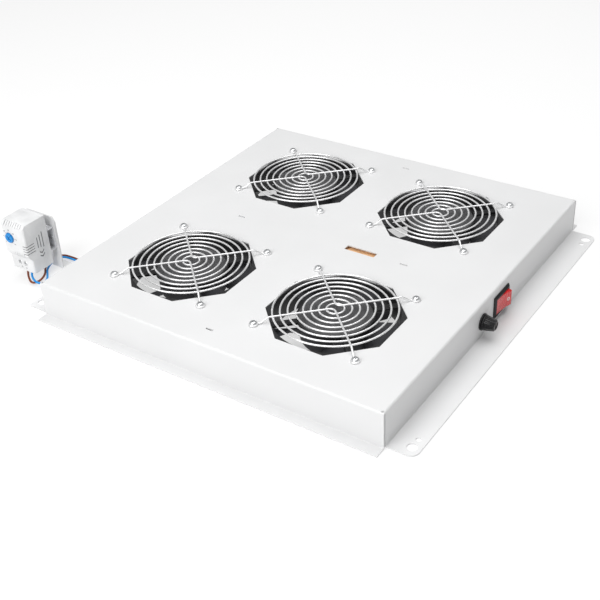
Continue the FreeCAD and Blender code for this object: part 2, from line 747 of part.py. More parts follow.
# ---------------------------------------------------------------- switch and fuse holder


def rocker_switch():
    """Snap-in switch case with a bevelled bezel, its rocker on a pin, and four blade terminals."""
    case = new_body("switch_case", half_width, s.switch_y, s.switch_z)
    bezel = rectangle(s.bezel_long, s.bezel_high)
    pad(case, outline(case, "YZ_Plane", "Bezel", [bezel]), s.bezel_thick)
    doc.recompute()
    front = edges_at(case, Vector(0, 1, 0), x=s.bezel_thick)
    front += edges_at(case, Vector(0, 0, 1), x=s.bezel_thick)
    ease(case, "Chamfer", 1.6, front)
    box = rectangle(s.case_long, s.case_high)
    pad(case, outline(case, "YZ_Plane", "Case", [box]), s.case_deep, reverse=True)
    mouth = rectangle(s.mouth_long, s.mouth_high)
    pocket(case, outline(case, "YZ_Plane", "Mouth", [mouth], lift=s.bezel_thick), s.mouth_deep)
    pin = outline(case, "XY_Plane", "PivotPin", [("circle", -s.rocker_pivot, 0.0, s.pin_radius)])
    pad(case, pin, s.mouth_high + 0.4, symmetric=True)

    rocker = new_body("rocker", half_width, s.switch_y, s.switch_z)
    end = s.mouth_long / 2 - 0.9
    face = s.bezel_thick
    profile = [(face - 4.4, -end + 1.0), (face - 0.4, -end), (face + 0.1, -end / 2),
               (face + 1.0, 0.0), (face + 2.5, end / 2), (face + 4.6, end - 1.6),
               (face - 3.2, end), (-s.rocker_pivot - 3.2, 3.4), (-s.rocker_pivot - 3.2, -3.4)]
    pad(rocker, outline(rocker, "XY_Plane", "Profile", [profile]), s.mouth_high - s.rocker_gap * 2,
        symmetric=True)
    hole = ("circle", -s.rocker_pivot, 0.0, s.pin_radius + 0.05)
    pocket(rocker, outline(rocker, "XY_Plane", "PivotHole", [hole]), s.mouth_high, symmetric=True)

    tab = new_body("switch_tab_master", keep=False)
    blade = rectangle(s.tab_thick, s.tab_wide)
    pad(tab, outline(tab, "YZ_Plane", "Blade", [blade]), s.tab_long, reverse=True)
    back = half_width - s.case_deep
    spots = [moved(back, s.switch_y + 6.5 * u, s.switch_z + 5.2 * v)
             for u in (-1, 1) for v in (-1, 1)]
    scattered("switch_tabs", tab, spots)


def along_x(body):
    """Turn a body that is modelled along Z so that it points along +X."""
    body.Placement = Placement(body.Placement.Base, Rotation(Vector(0, 1, 0), 90))
    place(body, half_width, s.fuse_y, s.fuse_z)


def fuse_holder():
    """Panel fuse holder: flanged barrel, fluted cap with its contact, glass fuse, nut and tags."""
    barrel = new_body("fuse_barrel")
    along_x(barrel)
    step(barrel, 16, s.fuse_barrel, -s.fuse_depth, 0.0)
    step(barrel, 16, s.fuse_flange, 0.0, s.fuse_flange_thick)
    pocket(barrel, outline(barrel, "XY_Plane", "Bore", [("circle", 0.0, 0.0, s.fuse_bore)],
                           lift=s.fuse_flange_thick), s.fuse_depth - 2.4)

    cap = new_body("fuse_cap")
    along_x(cap)
    seat = s.fuse_flange_thick + 0.3
    tip = seat + s.cap_long
    count = int(s.cap_flutes.value)
    step(cap, 0, s.cap_base, seat, seat + 1.6)
    middle = seat + (s.cap_long + 1.6) / 2
    for radius, start, end in ((s.cap_base - 0.3, seat + 1.6, middle), (s.cap_tip + 0.5, middle, tip)):
        flutes = outline(cap, "XY_Plane", "Flutes", [star(count, radius, radius - 0.9)], lift=start)
        pad(cap, flutes, end - start)

    contact = new_body("fuse_contact")
    along_x(contact)
    step(contact, 0, s.cap_stem, seat - s.cap_stem_long, seat)

    link = new_body("glass_fuse")
    along_x(link)
    pad(link, outline(link, "XY_Plane", "Link", [regular(10, s.link_radius)],
                      lift=seat - s.cap_stem_long), s.link_long - 2.2, reverse=True)

    nut = new_body("fuse_nut")
    along_x(nut)
    hexagon = regular(6, s.fuse_nut_flats / 2 / round(math.cos(math.pi / 6), 6))
    pad(nut, outline(nut, "XY_Plane", "Nut", [hexagon, regular(16, s.fuse_barrel)],
                     lift=-s.sheet), s.fuse_nut_thick, reverse=True)

    tag = new_body("fuse_tag_master", keep=False)
    pad(tag, outline(tag, "XY_Plane", "Tag", [rectangle(s.tab_long, 4.8)]), s.tab_thick)
    back = half_width - s.fuse_depth
    spots = [moved(back - s.tab_long / 2, s.fuse_y, s.fuse_z - s.tab_thick / 2),
             moved(back + 6.0, s.fuse_y, s.fuse_z - s.fuse_barrel * 0.980785 - s.tab_thick)]
    scattered("fuse_tags", tag, spots)


# ---------------------------------------------------------------- terminal board under the slot


def terminal_board():
    """Laminate board on two studs under the slot, with the terminal block below it."""
    board = new_body("terminal_board", s.slot_x, s.slot_y, s.board_top - s.board_thick)
    half_stud = s.stud_spacing / 2
    holes = [regular(8, s.stud_radius + 0.15, half_stud * u, 0.0) for u in (-1, 1)]
    pad(board, outline(board, "XY_Plane", "Board",
                       [rectangle(s.board_long, s.board_wide), *holes]), s.board_thick)

    stud = new_body("stud_master", keep=False)
    collar = under_plate - s.board_top
    pad(stud, outline(stud, "XY_Plane", "Collar", [regular(8, s.stud_collar)]), collar,
        reverse=True)
    pad(stud, outline(stud, "XY_Plane", "Stud", [regular(8, s.stud_radius)]), s.stud_long,
        reverse=True)
    scattered("board_studs", stud,
              [moved(s.slot_x + half_stud * u, s.slot_y, under_plate) for u in (-1, 1)])

    nut = new_body("board_nut_master", keep=False)
    hexagon = [regular(6, 3.1), regular(8, s.stud_radius + 0.05)]
    pad(nut, outline(nut, "XY_Plane", "Nut", hexagon), 2.4, reverse=True)
    scattered("board_nuts", nut,
              [moved(s.slot_x + half_stud * u, s.slot_y, s.board_top - s.board_thick)
               for u in (-1, 1)])

    block = new_body("terminal_block", s.slot_x, s.slot_y, s.board_top - s.board_thick)
    pad(block, outline(block, "XY_Plane", "Block",
                       [rectangle(s.block_long, s.block_wide)]), s.block_high, reverse=True)
    ways = int(s.block_ways.value)
    pitch = s.block_long / ways
    wells = [regular(8, 2.6, pitch * (i - (ways - 1) / 2), 0.0) for i in range(ways)]
    pocket(block, outline(block, "XY_Plane", "ScrewWells", wells, lift=-s.block_high), 4.0,
           reverse=True)
    mouths = [rectangle(4.4, 4.0, pitch * (i - (ways - 1) / 2), -s.block_high / 2)
              for i in range(ways)]
    pocket(block, outline(block, "XZ_Plane", "WireMouths", mouths, lift=s.block_wide / 2), 5.0)
    pocket(block, outline(block, "XZ_Plane", "WireMouthsRear", mouths, lift=-s.block_wide / 2), 5.0,
           reverse=True)

    screw = new_body("clamp_screw_master", keep=False)
    pad(screw, outline(screw, "XY_Plane", "Screw", [regular(8, 2.2)]), 3.0)
    scattered("terminal_screws", screw,
              [moved(s.slot_x + pitch * (i - (ways - 1) / 2), s.slot_y,
                     s.board_top - s.board_thick - s.block_high + 1.0) for i in range(ways)])


# ---------------------------------------------------------------- thermostat


def thermostat():
    """Bimetal thermostat: cover, rear base that hooks on the rail, dial, clip and screws."""
    top = s.thermo_low + s.thermo_high
    seam = s.thermo_back - s.thermo_base
    cover = new_body("thermostat_cover", s.thermo_x)
    side = [(seam, s.thermo_low), (seam, top), (s.thermo_front + s.brow, top),
            (s.thermo_front, top - s.brow), (s.thermo_front, s.thermo_low + s.sill_high),
            (s.thermo_front + s.sill_back, s.thermo_low + s.sill_low),
            (s.thermo_front + s.sill_back, s.thermo_low)]
    pad(cover, outline(cover, "YZ_Plane", "Side", [side]), s.thermo_wide, symmetric=True)
    doc.recompute()
    posts = edges_at(cover, Vector(0, 0, 1), y=s.thermo_front)
    posts += edges_at(cover, Vector(0, 0, 1), y=s.thermo_front + s.sill_back)
    ease(cover, "Chamfer", 1.0, posts)
    ribs = [rectangle(s.thermo_wide / 27, s.brow * 2, s.thermo_wide * (i - 3.5) / 10, top - s.brow / 2)
            for i in range(8)]
    pocket(cover, outline(cover, "XZ_Plane", "Vents", ribs, lift=-s.thermo_front), s.brow + 1.5)
    entries = [regular(8, 2.0, x, -lead_start_y()) for x in lead_entries()]
    entries = [[(x, -y) for x, y in loop] for loop in entries]
    pocket(cover, outline(cover, "XY_Plane", "LeadEntries", entries, lift=s.thermo_low), 6.0,
           reverse=True)
    wells = [regular(10, 2.6, x, s.thermo_low + 8.5) for x in terminal_spots()]
    pocket(cover, outline(cover, "XZ_Plane", "ScrewWells", wells,
                          lift=-s.thermo_front - s.sill_back), 4.0)
    dial_well = ("circle", s.dial_x - s.thermo_x, s.dial_z, s.dial_radius + 0.4)
    pocket(cover, outline(cover, "XZ_Plane", "DialWell", [dial_well], lift=-s.thermo_front), 4.0)

    base = new_body("thermostat_base", s.thermo_x)
    slab = [(seam, s.thermo_low), (s.thermo_back, s.thermo_low), (s.thermo_back, rail_top() + 0.3),
            (s.thermo_back + 2.8, rail_top() + 0.3), (s.thermo_back + 2.8, rail_top() - 2.6),
            (s.thermo_back + 1.3, rail_top() - 2.6)]
    hook = slab[2:4] + [slab[4], slab[5], (s.thermo_back + 1.3, rail_top() + 0.25)]
    slab = [(seam, s.thermo_low), (s.thermo_back, s.thermo_low), (s.thermo_back, top), (seam, top)]
    hook = [(s.thermo_back - 1.0, rail_top() + 0.3), (s.thermo_back + 1.3, rail_top() + 0.3),
            (s.thermo_back + 1.3, rail_top() - 2.6), (s.thermo_back + 2.8, rail_top() - 2.6),
            (s.thermo_back + 2.8, rail_top() + 3.0), (s.thermo_back - 1.0, rail_top() + 3.0)]
    pad(base, outline(base, "YZ_Plane", "Slab", [slab]), s.thermo_wide, symmetric=True)
    pad(base, outline(base, "YZ_Plane", "Hook", [hook]), 12.0, symmetric=True)
    groove = [(-4.3, s.thermo_low - 1.0), (4.3, s.thermo_low - 1.0), (4.3, s.thermo_low + 21.0),
              (-4.3, s.thermo_low + 21.0)]
    pocket(base, outline(base, "XZ_Plane", "ClipGroove", [groove], lift=-s.thermo_back), 3.1,
           reverse=True)

    clip = new_body("rail_clip", s.thermo_x)
    rail_low = s.rail_middle - s.rail_wide / 2
    back = s.thermo_back
    tongue = [(back - 2.8, s.thermo_low - 2.0), (back - 0.3, s.thermo_low - 2.0),
              (back - 0.3, rail_low - 3.4), (back + 2.7, rail_low - 3.4), (back + 2.7, rail_low + 2.4),
              (back + 1.3, rail_low + 2.4), (back + 1.3, rail_low - 0.3), (back - 0.3, rail_low - 0.3),
              (back - 0.3, s.thermo_low + 17.0), (back - 2.8, s.thermo_low + 17.0)]
    pad(clip, outline(clip, "YZ_Plane", "Tongue", [tongue]), 8.0, symmetric=True)

    dial = new_body("thermostat_dial", s.dial_x, s.thermo_front, s.dial_z)
    pad(dial, outline(dial, "XZ_Plane", "Disc", [("circle", 0.0, 0.0, s.dial_radius)], lift=-3.6),
        s.dial_proud + 3.6)
    slot = [rectangle(s.dial_radius * 1.3, as_size(1.2))]
    pocket(dial, outline(dial, "XZ_Plane", "DriverSlot", slot, lift=s.dial_proud), 1.0)

    screw = new_body("thermostat_screw_master", keep=False)
    pad(screw, outline(screw, "XZ_Plane", "Head", [regular(10, 2.3)]), 2.0, reverse=True)
    scattered("thermostat_screws", screw,
              [moved(s.thermo_x + x, s.thermo_front + s.sill_back + 2.0, s.thermo_low + 8.5)
               for x in terminal_spots()])


def terminal_spots():
    """The two terminal screws, across from the thermostat's middle."""
    return [s.thermo_wide * -0.13, s.thermo_wide * 0.11]


def lead_entries():
    """Where the two leads enter the thermostat's underside, across from its middle."""
    return [as_size(-1.5), as_size(4.5)]


def lead_start_y():
    """How far forward the leads enter."""
    return s.thermo_front + s.sill_back + 5.0


def rail_top():
    """Upper edge of the mounting rail."""
    return s.rail_middle + s.rail_wide / 2


def thermostat_bracket():
    """Short top-hat rail on a folded bracket whose foot is screwed to the left flange."""
    face = s.thermo_back + s.rail_deep
    left, right, thick = s.bracket_left, s.bracket_right, s.bracket_sheet
    bracket = new_body("thermostat_bracket", z=s.sheet)
    plate = [(left, s.lead_gate), (s.foot_left, s.lead_gate), (s.foot_left, 0.0), (right, 0.0),
             (right, s.bracket_top - 5.0), (right - 3.0, s.bracket_top), (left, s.bracket_top)]
    pad(bracket, outline(bracket, "XZ_Plane", "Upright", [plate], lift=-face), thick, reverse=True)
    foot = [(s.foot_left, face), (s.foot_right, face), (s.foot_right, face + s.foot_deep),
            (s.foot_left, face + s.foot_deep)]
    pad(bracket, outline(bracket, "XY_Plane", "Foot", [foot]), thick)
    doc.recompute()
    inner = edges_at(bracket, Vector(1, 0, 0), y=face + thick, z=thick)
    ease(bracket, "Fillet", 0.8, inner)
    holes = [regular(8, 1.7, x, y) for x, y in bracket_screw_spots()]
    pocket(bracket, outline(bracket, "XY_Plane", "FootHoles", holes, lift=thick), thick)

    rail = new_body("din_rail")
    half_hat, half_base, t = s.rail_wide / 2, s.rail_base / 2, s.rail_sheet
    back, lip = face, face - s.rail_deep
    mid = s.rail_middle
    hat = [(back, mid - half_base), (back, mid + half_base), (lip + t, mid + half_base),
           (lip + t, mid + half_hat), (lip, mid + half_hat), (lip, mid + half_base - t),
           (back - t, mid + half_base - t), (back - t, mid - half_base + t),
           (lip, mid - half_base + t), (lip, mid - half_hat), (lip + t, mid - half_hat),
           (lip + t, mid - half_base)]
    pad(rail, outline(rail, "YZ_Plane", "TopHat", [hat], lift=left + 1.0), right - left - 4.0)

    screw = new_body("bracket_screw_master", keep=False)
    pad(screw, outline(screw, "XY_Plane", "Head", [regular(10, 2.9)]), 2.0)
    pad(screw, outline(screw, "XY_Plane", "Shank", [regular(8, 1.5)]), s.sheet + thick,
        reverse=True)
    scattered("bracket_screws", screw,
              [moved(x, y, s.sheet + thick) for x, y in bracket_screw_spots()])

    rivet = new_body("rail_rivet_master", keep=False)
    pad(rivet, outline(rivet, "XZ_Plane", "Rivet", [regular(10, 2.6)]), 1.2)
    scattered("rail_rivets", rivet,
              [moved(s.thermo_x + 13.0 * u, face - t, mid) for u in (-1, 1)])


# ---------------------------------------------------------------- cable entries and leads


def cable_entries():
    """Rubber grommet for the thermostat leads and a gland for the supply cable."""
    grommet = new_body("lead_grommet", -half_width, s.entry_y, s.entry_z)
    grommet.Placement = Placement(grommet.Placement.Base, Rotation(Vector(0, 1, 0), 90))
    place(grommet, -half_width, s.entry_y, s.entry_z)
    rim, neck = s.grommet_rim, s.grommet_neck
    step(grommet, 16, rim, -1.8, 0.0)
    step(grommet, 16, neck, 0.0, s.sheet)
    step(grommet, 16, rim, s.sheet, s.sheet + 1.8)
    pocket(grommet, outline(grommet, "XY_Plane", "Bore", [regular(12, s.grommet_bore)]), 20.0,
           symmetric=True)

    gland = new_body("cable_gland", s.gland_x, half_depth, s.gland_z)
    gland.Placement = Placement(gland.Placement.Base, Rotation(Vector(1, 0, 0), -90))
    place(gland, s.gland_x, half_depth, s.gland_z)
    hexagon = regular(6, s.gland_flats / 2 / round(math.cos(math.pi / 6), 6))
    pad(gland, outline(gland, "XY_Plane", "Hex", [hexagon]), 4.5)
    step(gland, 16, s.gland_neck, -9.0, 0.0)
    step(gland, 16, s.gland_neck + 1.4, 4.5, s.gland_proud)
    doc.recompute()
    ease(gland, "Chamfer", 2.0, edges_at(gland, None, z=s.gland_proud))
    pocket(gland, outline(gland, "XY_Plane", "CableBore", [regular(12, s.gland_bore)]),
           s.gland_proud * 4, symmetric=True)

    nut = new_body("gland_nut", s.gland_x, half_depth - s.sheet, s.gland_z)
    nut.Placement = Placement(nut.Placement.Base, Rotation(Vector(1, 0, 0), -90))
    place(nut, s.gland_x, half_depth - s.sheet, s.gland_z)
    pad(nut, outline(nut, "XY_Plane", "Nut", [hexagon, regular(16, s.gland_neck)]), 4.0,
        reverse=True)

    stud = new_body("earth_stud", 110.0, 14.0, under_plate)
    pad(stud, outline(stud, "XY_Plane", "Stud", [regular(10, 2.0)]), 12.0, reverse=True)
    nut = new_body("earth_nut", 110.0, 14.0, under_plate)
    pad(nut, outline(nut, "XY_Plane", "Nut", [regular(6, 4.0), regular(10, 2.05)], lift=-3.0), 3.2,
        reverse=True)


def thermostat_leads():
    """Two leads: down from the thermostat, under its bracket, through the grommet to the block."""
    block_end = float(s.slot_x - s.block_long / 2)
    loops = {
        "lead_brown": [(-251.2, -161.6, 4.4), (-240.3, -168.2, 2.5), (-235.9, -160.8, 2.4),
                       (-240.6, -148.0, 2.4), (-252.0, -137.5, 2.5), (-256.0, -122.0, 2.9),
                       (-252.6, -111.2, 2.8), (-240.0, -109.6, 2.6), (-222.0, -110.6, 2.6),
                       (-209.0, -111.8, 6.0), (-198.5, -111.6, 11.6)],
        "lead_blue": [(-245.2, -162.0, 5.6), (-233.4, -167.3, 5.0), (-228.2, -162.8, 3.6),
                      (-231.0, -155.0, 2.9), (-236.6, -149.0, 2.6), (-247.4, -139.0, 2.6),
                      (-252.4, -123.5, 3.0), (-249.6, -113.8, 2.9), (-238.0, -112.3, 2.6),
                      (-220.5, -113.3, 2.7), (-209.5, -112.6, 8.6), (-198.5, -111.8, 14.4)]}
    for name, entry, shift in (("lead_brown", lead_entries()[0], -1.25),
                               ("lead_blue", lead_entries()[1], 1.25)):
        x = float(s.thermo_x + entry)
        y = float(lead_start_y())
        points = [Vector(x, y, float(s.thermo_low) + 6.0), Vector(x, y, 8.0)]
        points += [Vector(*place) for place in loops[name]]
        points += [Vector(-185.0, -112.0, 14.0 + shift),
                   Vector(-170.0 + shift, -107.0 - shift, 17.0 + shift),
                   Vector(-162.0 + shift * 1.6, -90.0, 25.0), Vector(-161.0 + shift * 1.6, -55.0, 31.0),
                   Vector(-150.0 + shift * 1.6, -22.0 - shift, 31.7),
                   Vector(-118.0, -4.0 - shift * 1.8, 31.0), Vector(-70.0, 2.0 - shift * 1.6, 30.3),
                   Vector(-20.0, 2.5 - shift * 1.6, 28.6),
                   Vector(block_end - 18.0, 0.8 - shift * 2, 25.6),
                   Vector(block_end, 0.8 - shift * 2, 25.6)]
        solid_part(name, tube(name, points, s.lead_radius))


def fan_leads():
    """Each fan's twin lead, level from the side of its housing to the terminal block."""
    level = float(s.board_top - s.board_thick - s.block_high / 2)
    wires = []
    for side, end in FAN_SPOTS:
        x, y = (float(v) for v in fan_centre(side, end))
        edge_y = y - end * float(s.fan_square) / 2
        way = float(s.slot_x) + (side * 4.75 if side > 0 else -14.25)
        front = float(s.slot_y) + end * float(s.block_wide) / 2
        if side > 0:
            points = [Vector(way + 3.0, edge_y, level), Vector(way + 3.0, edge_y - end * 14.0, level),
                      Vector(way, front, level)]
        else:
            start = x + float(s.fan_square) / 2
            points = [Vector(start, edge_y + end * 6.0, level),
                      Vector(way - 20.0, edge_y + end * 6.0, level), Vector(way, front, level)]
        wires.append(tube(f"fan lead {side} {end}", points, 1.3))
    solid_part("fan_leads", Part.makeCompound(wires))


def mains_leads():
    """Leads from the switch and the fuse to the terminal block, and from the fuse to the switch."""
    back_switch = float(half_width - s.case_deep - s.tab_long)
    back_fuse = float(half_width - s.fuse_depth - s.tab_long)
    y_switch, y_fuse = float(s.switch_y), float(s.fuse_y)
    z_switch, z_fuse = float(s.switch_z), float(s.fuse_z)
    block_y = float(s.slot_y)
    block_x = float(s.slot_x + s.block_long / 2)
    level = float(s.board_top - s.board_thick - s.block_high / 2)
    routes = [
        [Vector(back_switch, y_switch - 6.5, z_switch + 5.2),
         Vector(back_switch - 20.0, y_switch - 6.5, z_switch + 5.2),
         Vector(110.0, block_y + 3.0, level), Vector(block_x, block_y + 3.0, level)],
        [Vector(back_fuse, y_fuse, z_fuse), Vector(back_fuse - 14.0, y_fuse, z_fuse),
         Vector(108.0, block_y - 3.0, level), Vector(block_x, block_y - 3.0, level)],
        [Vector(back_fuse + 10.5, y_fuse + 2.4, z_fuse - 6.3),
         Vector(back_fuse + 10.5, y_fuse + 9.0, z_fuse - 6.3),
         Vector(back_switch - 8.0, y_switch - 20.0, z_switch - 5.2),
         Vector(back_switch - 8.0, y_switch - 6.5, z_switch - 5.2),
         Vector(back_switch, y_switch - 6.5, z_switch - 5.2)],
    ]
    wires = [tube(f"mains lead {i}", points, 1.2) for i, points in enumerate(routes, start=1)]
    solid_part("mains_leads", Part.makeCompound(wires))


# ---------------------------------------------------------------- build, check and write


def check_document():
    """Stop if an object failed, or a sub-part has no valid shape."""
    doc.recompute()
    for thing in doc.Objects:
        if "Invalid" in thing.State or "Error" in thing.State:
            raise ValueError(f"{thing.Label} is {thing.State}")
    for part in parts:
        if part.Shape.isNull() or not part.Shape.isValid() or not part.Shape.Solids:
            raise ValueError(f"{part.Label} has no valid shape")


def write_parts():
    """Write each sub-part's shape to parts/NODE.step."""
    os.makedirs("parts", exist_ok=True)
    for part in parts:
        part.Shape.exportStep(f"parts/{part.Label}.step")
    print(f"{len(parts)} sub-parts written")


tray_shell()
fans()
finger_guards()
guard_screws()
rocker_switch()
fuse_holder()
terminal_board()
thermostat()
thermostat_bracket()
cable_entries()
thermostat_leads()
fan_leads()
mains_leads()
check_document()
write_parts()
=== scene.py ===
"""Looks of a rack fan tray: four axial fans under wire guards in a folded, powder-coated tray.

Lengths in the classes are in millimetres. Meshes are in metres, in the frame of the solids:
+Z up, +X towards the wall with the switch, +Y towards the rear.
"""
import logging
import math
from dataclasses import dataclass
from enum import Enum
from typing import ClassVar, Iterable, Sequence

import bmesh
import bpy
from mathutils import Matrix, Vector


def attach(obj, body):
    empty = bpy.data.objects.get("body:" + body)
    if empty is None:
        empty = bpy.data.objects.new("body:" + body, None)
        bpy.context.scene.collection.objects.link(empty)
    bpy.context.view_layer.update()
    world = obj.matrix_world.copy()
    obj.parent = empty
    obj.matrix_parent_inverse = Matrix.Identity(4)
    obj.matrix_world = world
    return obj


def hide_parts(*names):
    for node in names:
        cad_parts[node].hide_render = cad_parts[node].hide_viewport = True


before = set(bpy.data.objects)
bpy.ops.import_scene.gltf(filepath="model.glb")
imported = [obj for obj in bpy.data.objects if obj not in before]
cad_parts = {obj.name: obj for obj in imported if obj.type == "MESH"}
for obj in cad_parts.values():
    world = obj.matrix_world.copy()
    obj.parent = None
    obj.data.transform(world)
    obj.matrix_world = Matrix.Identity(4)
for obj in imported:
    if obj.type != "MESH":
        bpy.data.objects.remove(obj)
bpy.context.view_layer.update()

log = logging.getLogger("fan_tray")
MM = 0.001
WALL = 188.5  # outer face of the wall with the switch, along X
FAN_SCREW = 52.5  # a fan's screws, from its middle along X and along Y
Point = tuple[float, float, float]
Colour = tuple[float, float, float]
Mesh = bpy.types.Mesh
Socket = bpy.types.NodeSocket


# ---------------------------------------------------------------- finishes


class Shader:
    """A material's nodes, with short calls for those that every finish shares."""

    def __init__(self, name: str) -> None:
        """Start a material with one surface shader.

        Args:
            name: The material's name.
        """
        self.material = bpy.data.materials.new(name)
        self.material.use_nodes = True
        self.tree = self.material.node_tree
        self.tree.nodes.clear()
        self.surface = self.tree.nodes.new("ShaderNodeBsdfPrincipled")
        end = self.tree.nodes.new("ShaderNodeOutputMaterial")
        self.link(self.surface.outputs["BSDF"], end.inputs["Surface"])
        self.where = self.tree.nodes.new("ShaderNodeTexCoord").outputs["Object"]

    def link(self, source: Socket, target: Socket) -> None:
        """Join two sockets."""
        self.tree.links.new(source, target)

    def plain(self, **values: float | Sequence[float]) -> None:
        """Set the surface shader's own sockets, with _ for a space in their names."""
        for name, value in values.items():
            self.surface.inputs[name.replace("_", " ")].default_value = value

    def feed(self, name: str, source: Socket) -> None:
        """Drive one of the surface shader's sockets."""
        self.link(source, self.surface.inputs[name])

    def noise(self, size: float, detail: float = 3.0,
              stretch: Point = (1.0, 1.0, 1.0)) -> Socket:
        """Add a noise over the object.

        Args:
            size: Size of the noise's spots, in millimetres.
            detail: Number of finer layers.
            stretch: How much longer the spots are along each axis.

        Returns:
            The noise's value.
        """
        turn = self.tree.nodes.new("ShaderNodeMapping")
        turn.inputs["Scale"].default_value = [1.0 / s for s in stretch]
        self.link(self.where, turn.inputs["Vector"])
        node = self.tree.nodes.new("ShaderNodeTexNoise")
        node.inputs["Scale"].default_value = 1.0 / (size * MM)
        node.inputs["Detail"].default_value = detail
        self.link(turn.outputs["Vector"], node.inputs["Vector"])
        return node.outputs["Fac"]

    def cells(self, size: float) -> Socket:
        """Add small cells, as a moulded grain has, and give the distance to their middles."""
        node = self.tree.nodes.new("ShaderNodeTexVoronoi")
        node.inputs["Scale"].default_value = 1.0 / (size * MM)
        self.link(self.where, node.inputs["Vector"])
        return node.outputs["Distance"]

    def between(self, value: Socket, low: float, high: float,
                start: float = 0.3, end: float = 0.7) -> Socket:
        """Map a value that runs from start to end onto low to high."""
        node = self.tree.nodes.new("ShaderNodeMapRange")
        for name, number in (("From Min", start), ("From Max", end), ("To Min", low),
                             ("To Max", high)):
            node.inputs[name].default_value = number
        self.link(value, node.inputs["Value"])
        return node.outputs["Result"]

    def blend(self, value: Socket, stops: Sequence[tuple[float, Colour]]) -> Socket:
        """Colours along a value.

        Args:
            value: What picks the colour.
            stops: Places from 0 to 1, each with its colour.

        Returns:
            The colour.
        """
        node = self.tree.nodes.new("ShaderNodeValToRGB")
        ramp = node.color_ramp
        while len(ramp.elements) < len(stops):
            ramp.elements.new(0.5)
        for element, (place, colour) in zip(ramp.elements, stops):
            element.position = place
            element.color = (*colour, 1.0)
        self.link(value, node.inputs["Fac"])
        return node.outputs["Color"]

    def bump(self, layers: Iterable[tuple[Socket, float, float]]) -> None:
        """Raise the surface by several layers.

        Args:
            layers: Heights, each with its depth in millimetres and its strength.
        """
        before = None
        for height, depth, strength in layers:
            node = self.tree.nodes.new("ShaderNodeBump")
            node.inputs["Distance"].default_value = depth * MM
            node.inputs["Strength"].default_value = strength
            self.link(height, node.inputs["Height"])
            if before is not None:
                self.link(before, node.inputs["Normal"])
            before = node.outputs["Normal"]
        self.feed("Normal", before)


def shade(colour: Colour, share: float) -> Colour:
    """A colour made lighter or darker by a share."""
    return tuple(min(1.0, c * share) for c in colour)


@dataclass(frozen=True)
class Finish:
    """A finish: its name, the slot of the record that it belongs to, its colour and roughness."""

    name: str
    slot: str
    colour: Colour
    rough: tuple[float, float] = (0.4, 0.5)

    def material(self) -> bpy.types.Material:
        """The finish's material, made at its first use."""
        found = bpy.data.materials.get(self.name)
        if found is None:
            shader = Shader(self.name)
            self.paint(shader)
            found = shader.material
        return found

    def mottled(self, shader: Shader, size: float, low: float, high: float,
                detail: float = 3.0) -> Socket:
        """Vary the colour and the roughness over patches, and give the patches' value."""
        patches = shader.noise(size, detail)
        shader.feed("Base Color", shader.blend(patches, [(0.3, shade(self.colour, low)),
                                                         (0.7, shade(self.colour, high))]))
        shader.feed("Roughness", shader.between(patches, *self.rough))
        return patches

    def paint(self, shader: Shader) -> None:
        """Set up the shader."""
        raise NotImplementedError


@dataclass(frozen=True)
class Grained(Finish):
    """A finish with slow patches of tone and up to two layers of grain over them.

    The patches have a size in millimetres and a darkest and a lightest share of the colour. Each
    layer of grain has a size, a number of finer layers, a depth and a strength.
    """

    patches: ClassVar[tuple[float, float, float]]
    sockets: ClassVar[dict[str, float]] = {}

    def layers(self, shader: Shader) -> list[tuple[Socket, float, float]]:
        """The heights that make the grain."""
        raise NotImplementedError

    def paint(self, shader: Shader) -> None:
        """Set up the shader."""
        self.mottled(shader, *self.patches)
        shader.plain(**self.sockets)
        shader.bump(self.layers(shader))


@dataclass(frozen=True)
class PowderCoat(Grained):
    """Powder coat: a fine orange peel over slow changes of tone."""

    peel: float = 1.3
    patches = (60.0, 0.985, 1.01)
    sockets = {"Coat_Weight": 0.12, "Coat_Roughness": 0.3, "Specular_IOR_Level": 0.45}

    def layers(self, shader: Shader) -> list[tuple[Socket, float, float]]:
        """Orange peel with a finer grain in it."""
        return [(shader.noise(self.peel, 2.0), 0.05, 0.35), (shader.noise(0.35, 2.0), 0.01, 0.3)]


@dataclass(frozen=True)
class Plated(Grained):
    """Bare or plated metal, drawn or turned, with a fine grain."""

    grain: float = 0.4
    metal: float = 1.0
    patches = (6.0, 0.9, 1.08)

    def paint(self, shader: Shader) -> None:
        """Set up the shader, more or less metallic."""
        super().paint(shader)
        shader.plain(Metallic=self.metal)

    def layers(self, shader: Shader) -> list[tuple[Socket, float, float]]:
        """The marks of drawing or turning."""
        return [(shader.noise(self.grain, 4.0), 0.01, 0.35)]


@dataclass(frozen=True)
class Moulded(Grained):
    """Moulded plastic with a fine spark-eroded grain."""

    grain: float = 0.35
    relief: float = 0.3
    patches = (14.0, 0.94, 1.06)
    sockets = {"Specular_IOR_Level": 0.45}

    def layers(self, shader: Shader) -> list[tuple[Socket, float, float]]:
        """The eroded grain over a slight sink."""
        return [(shader.cells(self.grain), 0.03, self.relief), (shader.noise(9.0, 2.0), 0.05, 0.12)]


@dataclass(frozen=True)
class LampRed(Finish):
    """Clear red plastic over a lamp, with small prisms inside its face."""

    def paint(self, shader: Shader) -> None:
        """Set up the shader."""
        glow = shader.cells(1.1)
        shader.feed("Base Color", shader.blend(glow, [(0.1, shade(self.colour, 1.15)),
                                                      (0.6, shade(self.colour, 0.85))]))
        shader.feed("Roughness", shader.between(shader.noise(2.0), *self.rough))
        shader.plain(Transmission_Weight=0.15, IOR=1.5, Coat_Weight=0.35, Coat_Roughness=0.12,
                     Subsurface_Weight=0.15, Subsurface_Scale=0.004)
        shader.bump([(glow, 0.04, 0.15), (shader.noise(0.5, 2.0), 0.01, 0.2)])


